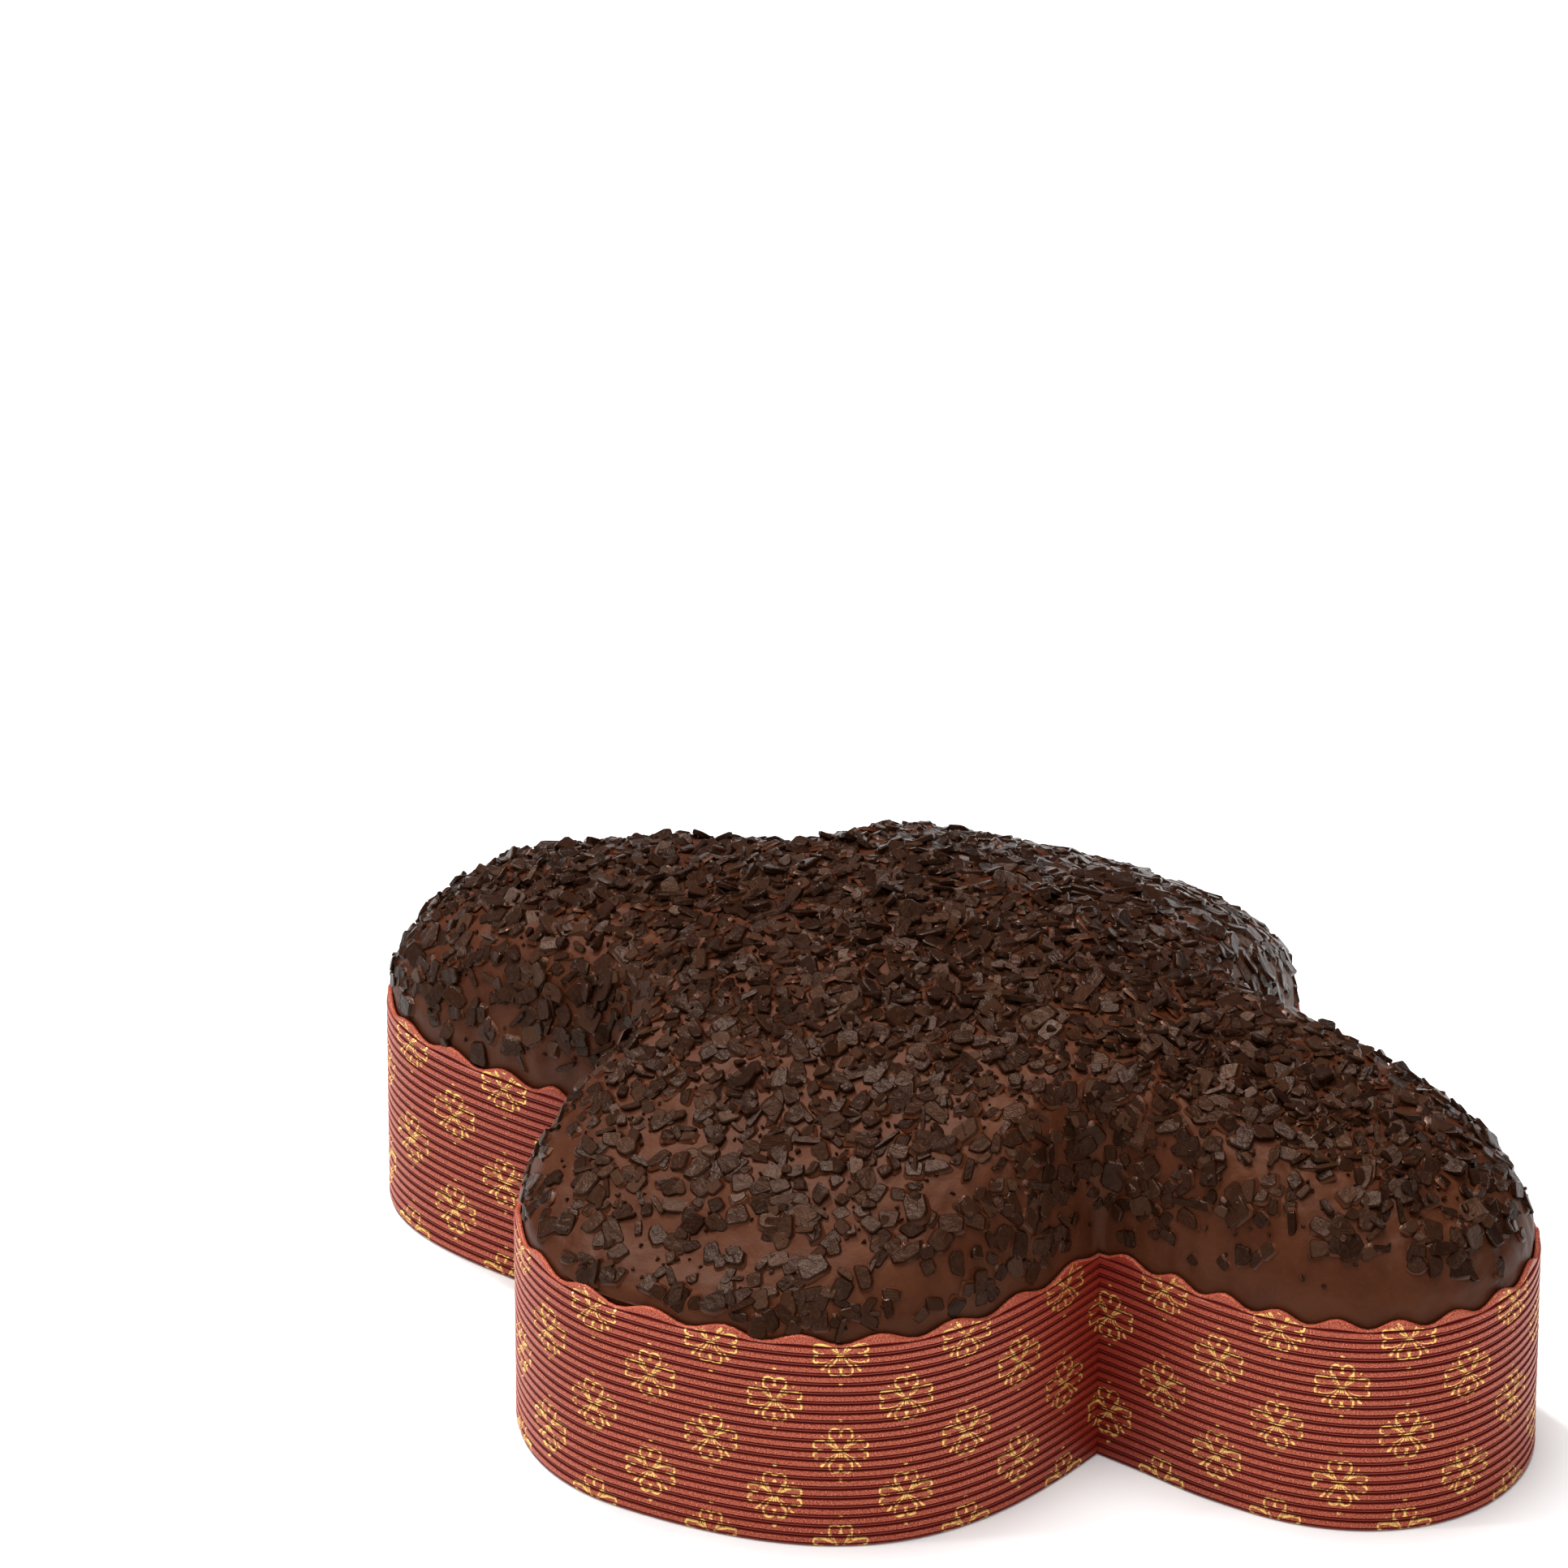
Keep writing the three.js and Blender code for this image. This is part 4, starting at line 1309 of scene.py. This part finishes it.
def build_chips(context):
    chips = context.scene.colomba_chips
    surface = bpy.data.objects["chocolate_glaze"]
    finish = chip_finish(chips)
    for number, (name, kind) in enumerate(CHIP_KINDS.items()):
        library = chip_library(name, kind, np.random.default_rng(chips.seed + number))
        spacing = getattr(chips, kind.spacing)
        sizes = {
            "Spacing": spacing,
            "Most Per Area": CHIPS_PER_SQUARE / spacing**2,
            "Side Share": kind.side_share,
            "Cluster Size": chips.cluster_size,
            "Side Tilt": kind.tilts[0],
            "Crown Tilt": kind.tilts[1],
            "Lift": kind.lift,
            "Seed": chips.seed + kind.seed,
            "Material": finish,
        }
        if kind.collar:
            sizes["Glaze"] = surface.data.materials[0]
        piece = scatter(name, library, surface, sizes)
        clear_library(library)
        piece.data.shade_smooth()
        piece.data.set_sharp_from_angle(angle=CHIP_SHARP_ANGLE)
        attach(piece, "root")


# Crust


def build_crust(context):
    bread = frame["nodes"]["bread"]
    finish = crust_finish(context.scene.colomba_crust)
    if not bread.data.materials:
        bread.data.materials.append(finish)
    for slot in bread.material_slots:
        slot.material = finish


# Studio


# Places of the far lights in metres. The small ones make the edges of the chips glint, and each has a
# share of their strength.
BROAD_LIGHTS = {"top": (-0.2, -0.1, 2.4), "left": (-1.3, -1.0, 0.6), "right": (1.4, -0.7, 0.6)}
SPARK_LIGHTS = (
    ("back", (-0.9, 0.3, 1.5), 1.0),
    ("right", (0.9, -1.2, 1.6), 0.28),
    ("left", (-1.2, -0.9, 1.4), 0.28),
)
SENSOR_WIDTH = 36.0


def add_light(name, place, strength, breadth):
    """A light far off, which shines from a place towards the bread"""
    data = bpy.data.lights.new(name, "SUN")
    data.energy = strength
    data.angle = breadth
    light = add_object(name, data)
    light.location = place
    light.rotation_euler = Vector(place).to_track_quat("Z", "Y").to_euler()


def add_lights(studio):
    for name, place in BROAD_LIGHTS.items():
        breadth = studio.top_breadth if name == "top" else studio.side_breadth
        add_light(name + "_light", place, getattr(studio, name + "_strength"), breadth)
    for name, place, portion in SPARK_LIGHTS:
        add_light(name + "_spark_light", place, studio.spark_strength * portion, studio.spark_breadth)


def add_floor(studio):
    half = studio.floor_size / 2
    corners = [(-half, -half, 0), (half, -half, 0), (half, half, 0), (-half, half, 0)]
    floor = add_object("studio_floor", mesh_from("studio_floor", corners, [(0, 1, 2, 3)]))
    finish = Finish("studio_floor")
    mottle = finish.noise(finish.spot(), size=0.4).ramp(0.3, 0.7)
    pale = finish.mix(mottle, rgba(studio.floor), rgba(studio.floor, 0.985))
    finish.coat(pale, mottle * 0.05 + 0.8)
    floor.data.materials.append(finish.material)


def add_camera(studio):
    target = Vector((studio.target_x, studio.target_y, studio.target_z))
    turn, rise = studio.camera_azimuth, studio.camera_elevation
    away = Vector((math.sin(turn) * math.cos(rise), -math.cos(turn) * math.cos(rise), math.sin(rise)))
    data = bpy.data.cameras.new("camera")
    data.lens = studio.camera_lens
    data.sensor_width = SENSOR_WIDTH
    camera = add_object("camera", data)
    camera.location = target + away * studio.camera_distance
    camera.rotation_euler = (-away).to_track_quat("-Z", "Y").to_euler()
    return camera


def build_studio(context):
    scene = context.scene
    studio = scene.colomba_studio
    add_floor(studio)
    add_lights(studio)
    world = bpy.data.worlds.new("studio_room")
    world.use_nodes = True
    background = world.node_tree.nodes["Background"]
    background.inputs["Color"].default_value = (1.0, 1.0, 1.0, 1.0)
    background.inputs["Strength"].default_value = studio.room
    scene.world = world
    scene.view_settings.view_transform = "Standard"
    scene.camera = add_camera(studio)


# Operators, panel and registration


class COLOMBA_OT_paper_case(bpy.types.Operator):
    """Builds the ribbed paper case with its scalloped rim and gold ornaments"""

    bl_idname = "colomba.paper_case"
    bl_label = "Paper Case"

    def execute(self, context):
        build_paper_case(context)
        return {"FINISHED"}


class COLOMBA_OT_crust(bpy.types.Operator):
    """Gives the bread its baked crust"""

    bl_idname = "colomba.crust"
    bl_label = "Baked Crust"

    def execute(self, context):
        build_crust(context)
        return {"FINISHED"}


class COLOMBA_OT_glaze(bpy.types.Operator):
    """Builds the chocolate glaze over the bread"""

    bl_idname = "colomba.glaze"
    bl_label = "Chocolate Glaze"

    def execute(self, context):
        build_glaze(context)
        return {"FINISHED"}


class COLOMBA_OT_chips(bpy.types.Operator):
    """Scatters the chips, slivers and crumbs over the glaze"""

    bl_idname = "colomba.chips"
    bl_label = "Chocolate Chips"

    def execute(self, context):
        build_chips(context)
        return {"FINISHED"}


class COLOMBA_OT_studio(bpy.types.Operator):
    """Sets up the floor, the lights and the camera"""

    bl_idname = "colomba.studio"
    bl_label = "Studio"

    def execute(self, context):
        build_studio(context)
        return {"FINISHED"}


SETTINGS = {
    "colomba_plan": PlanSettings,
    "colomba_case": CaseSettings,
    "colomba_glaze": GlazeSettings,
    "colomba_chips": ChipSettings,
    "colomba_crust": CrustSettings,
    "colomba_studio": StudioSettings,
}
OPERATORS = (
    COLOMBA_OT_paper_case,
    COLOMBA_OT_crust,
    COLOMBA_OT_glaze,
    COLOMBA_OT_chips,
    COLOMBA_OT_studio,
)


class COLOMBA_PT_panel(bpy.types.Panel):
    """Lists the settings and the steps that build the bread"""

    bl_idname = "COLOMBA_PT_panel"
    bl_label = "Colomba"
    bl_space_type = "VIEW_3D"
    bl_region_type = "UI"
    bl_category = "Colomba"

    def draw(self, context):
        for operator in OPERATORS:
            self.layout.operator(operator.bl_idname)
        for name, group in SETTINGS.items():
            box = self.layout.box()
            box.label(text=group.__doc__)
            settings = getattr(context.scene, name)
            for key in group.__annotations__:
                box.prop(settings, key)


def register():
    for name, group in SETTINGS.items():
        bpy.utils.register_class(group)
        setattr(bpy.types.Scene, name, PointerProperty(type=group))
    for operator in OPERATORS:
        bpy.utils.register_class(operator)
    bpy.utils.register_class(COLOMBA_PT_panel)


def unregister():
    bpy.utils.unregister_class(COLOMBA_PT_panel)
    for operator in OPERATORS:
        bpy.utils.unregister_class(operator)
    for name, group in SETTINGS.items():
        delattr(bpy.types.Scene, name)
        bpy.utils.unregister_class(group)


def main():
    register()
    bpy.ops.colomba.paper_case()
    bpy.ops.colomba.crust()
    bpy.ops.colomba.glaze()
    bpy.ops.colomba.chips()
    bpy.ops.colomba.studio()


if __name__ == "__main__":
    main()
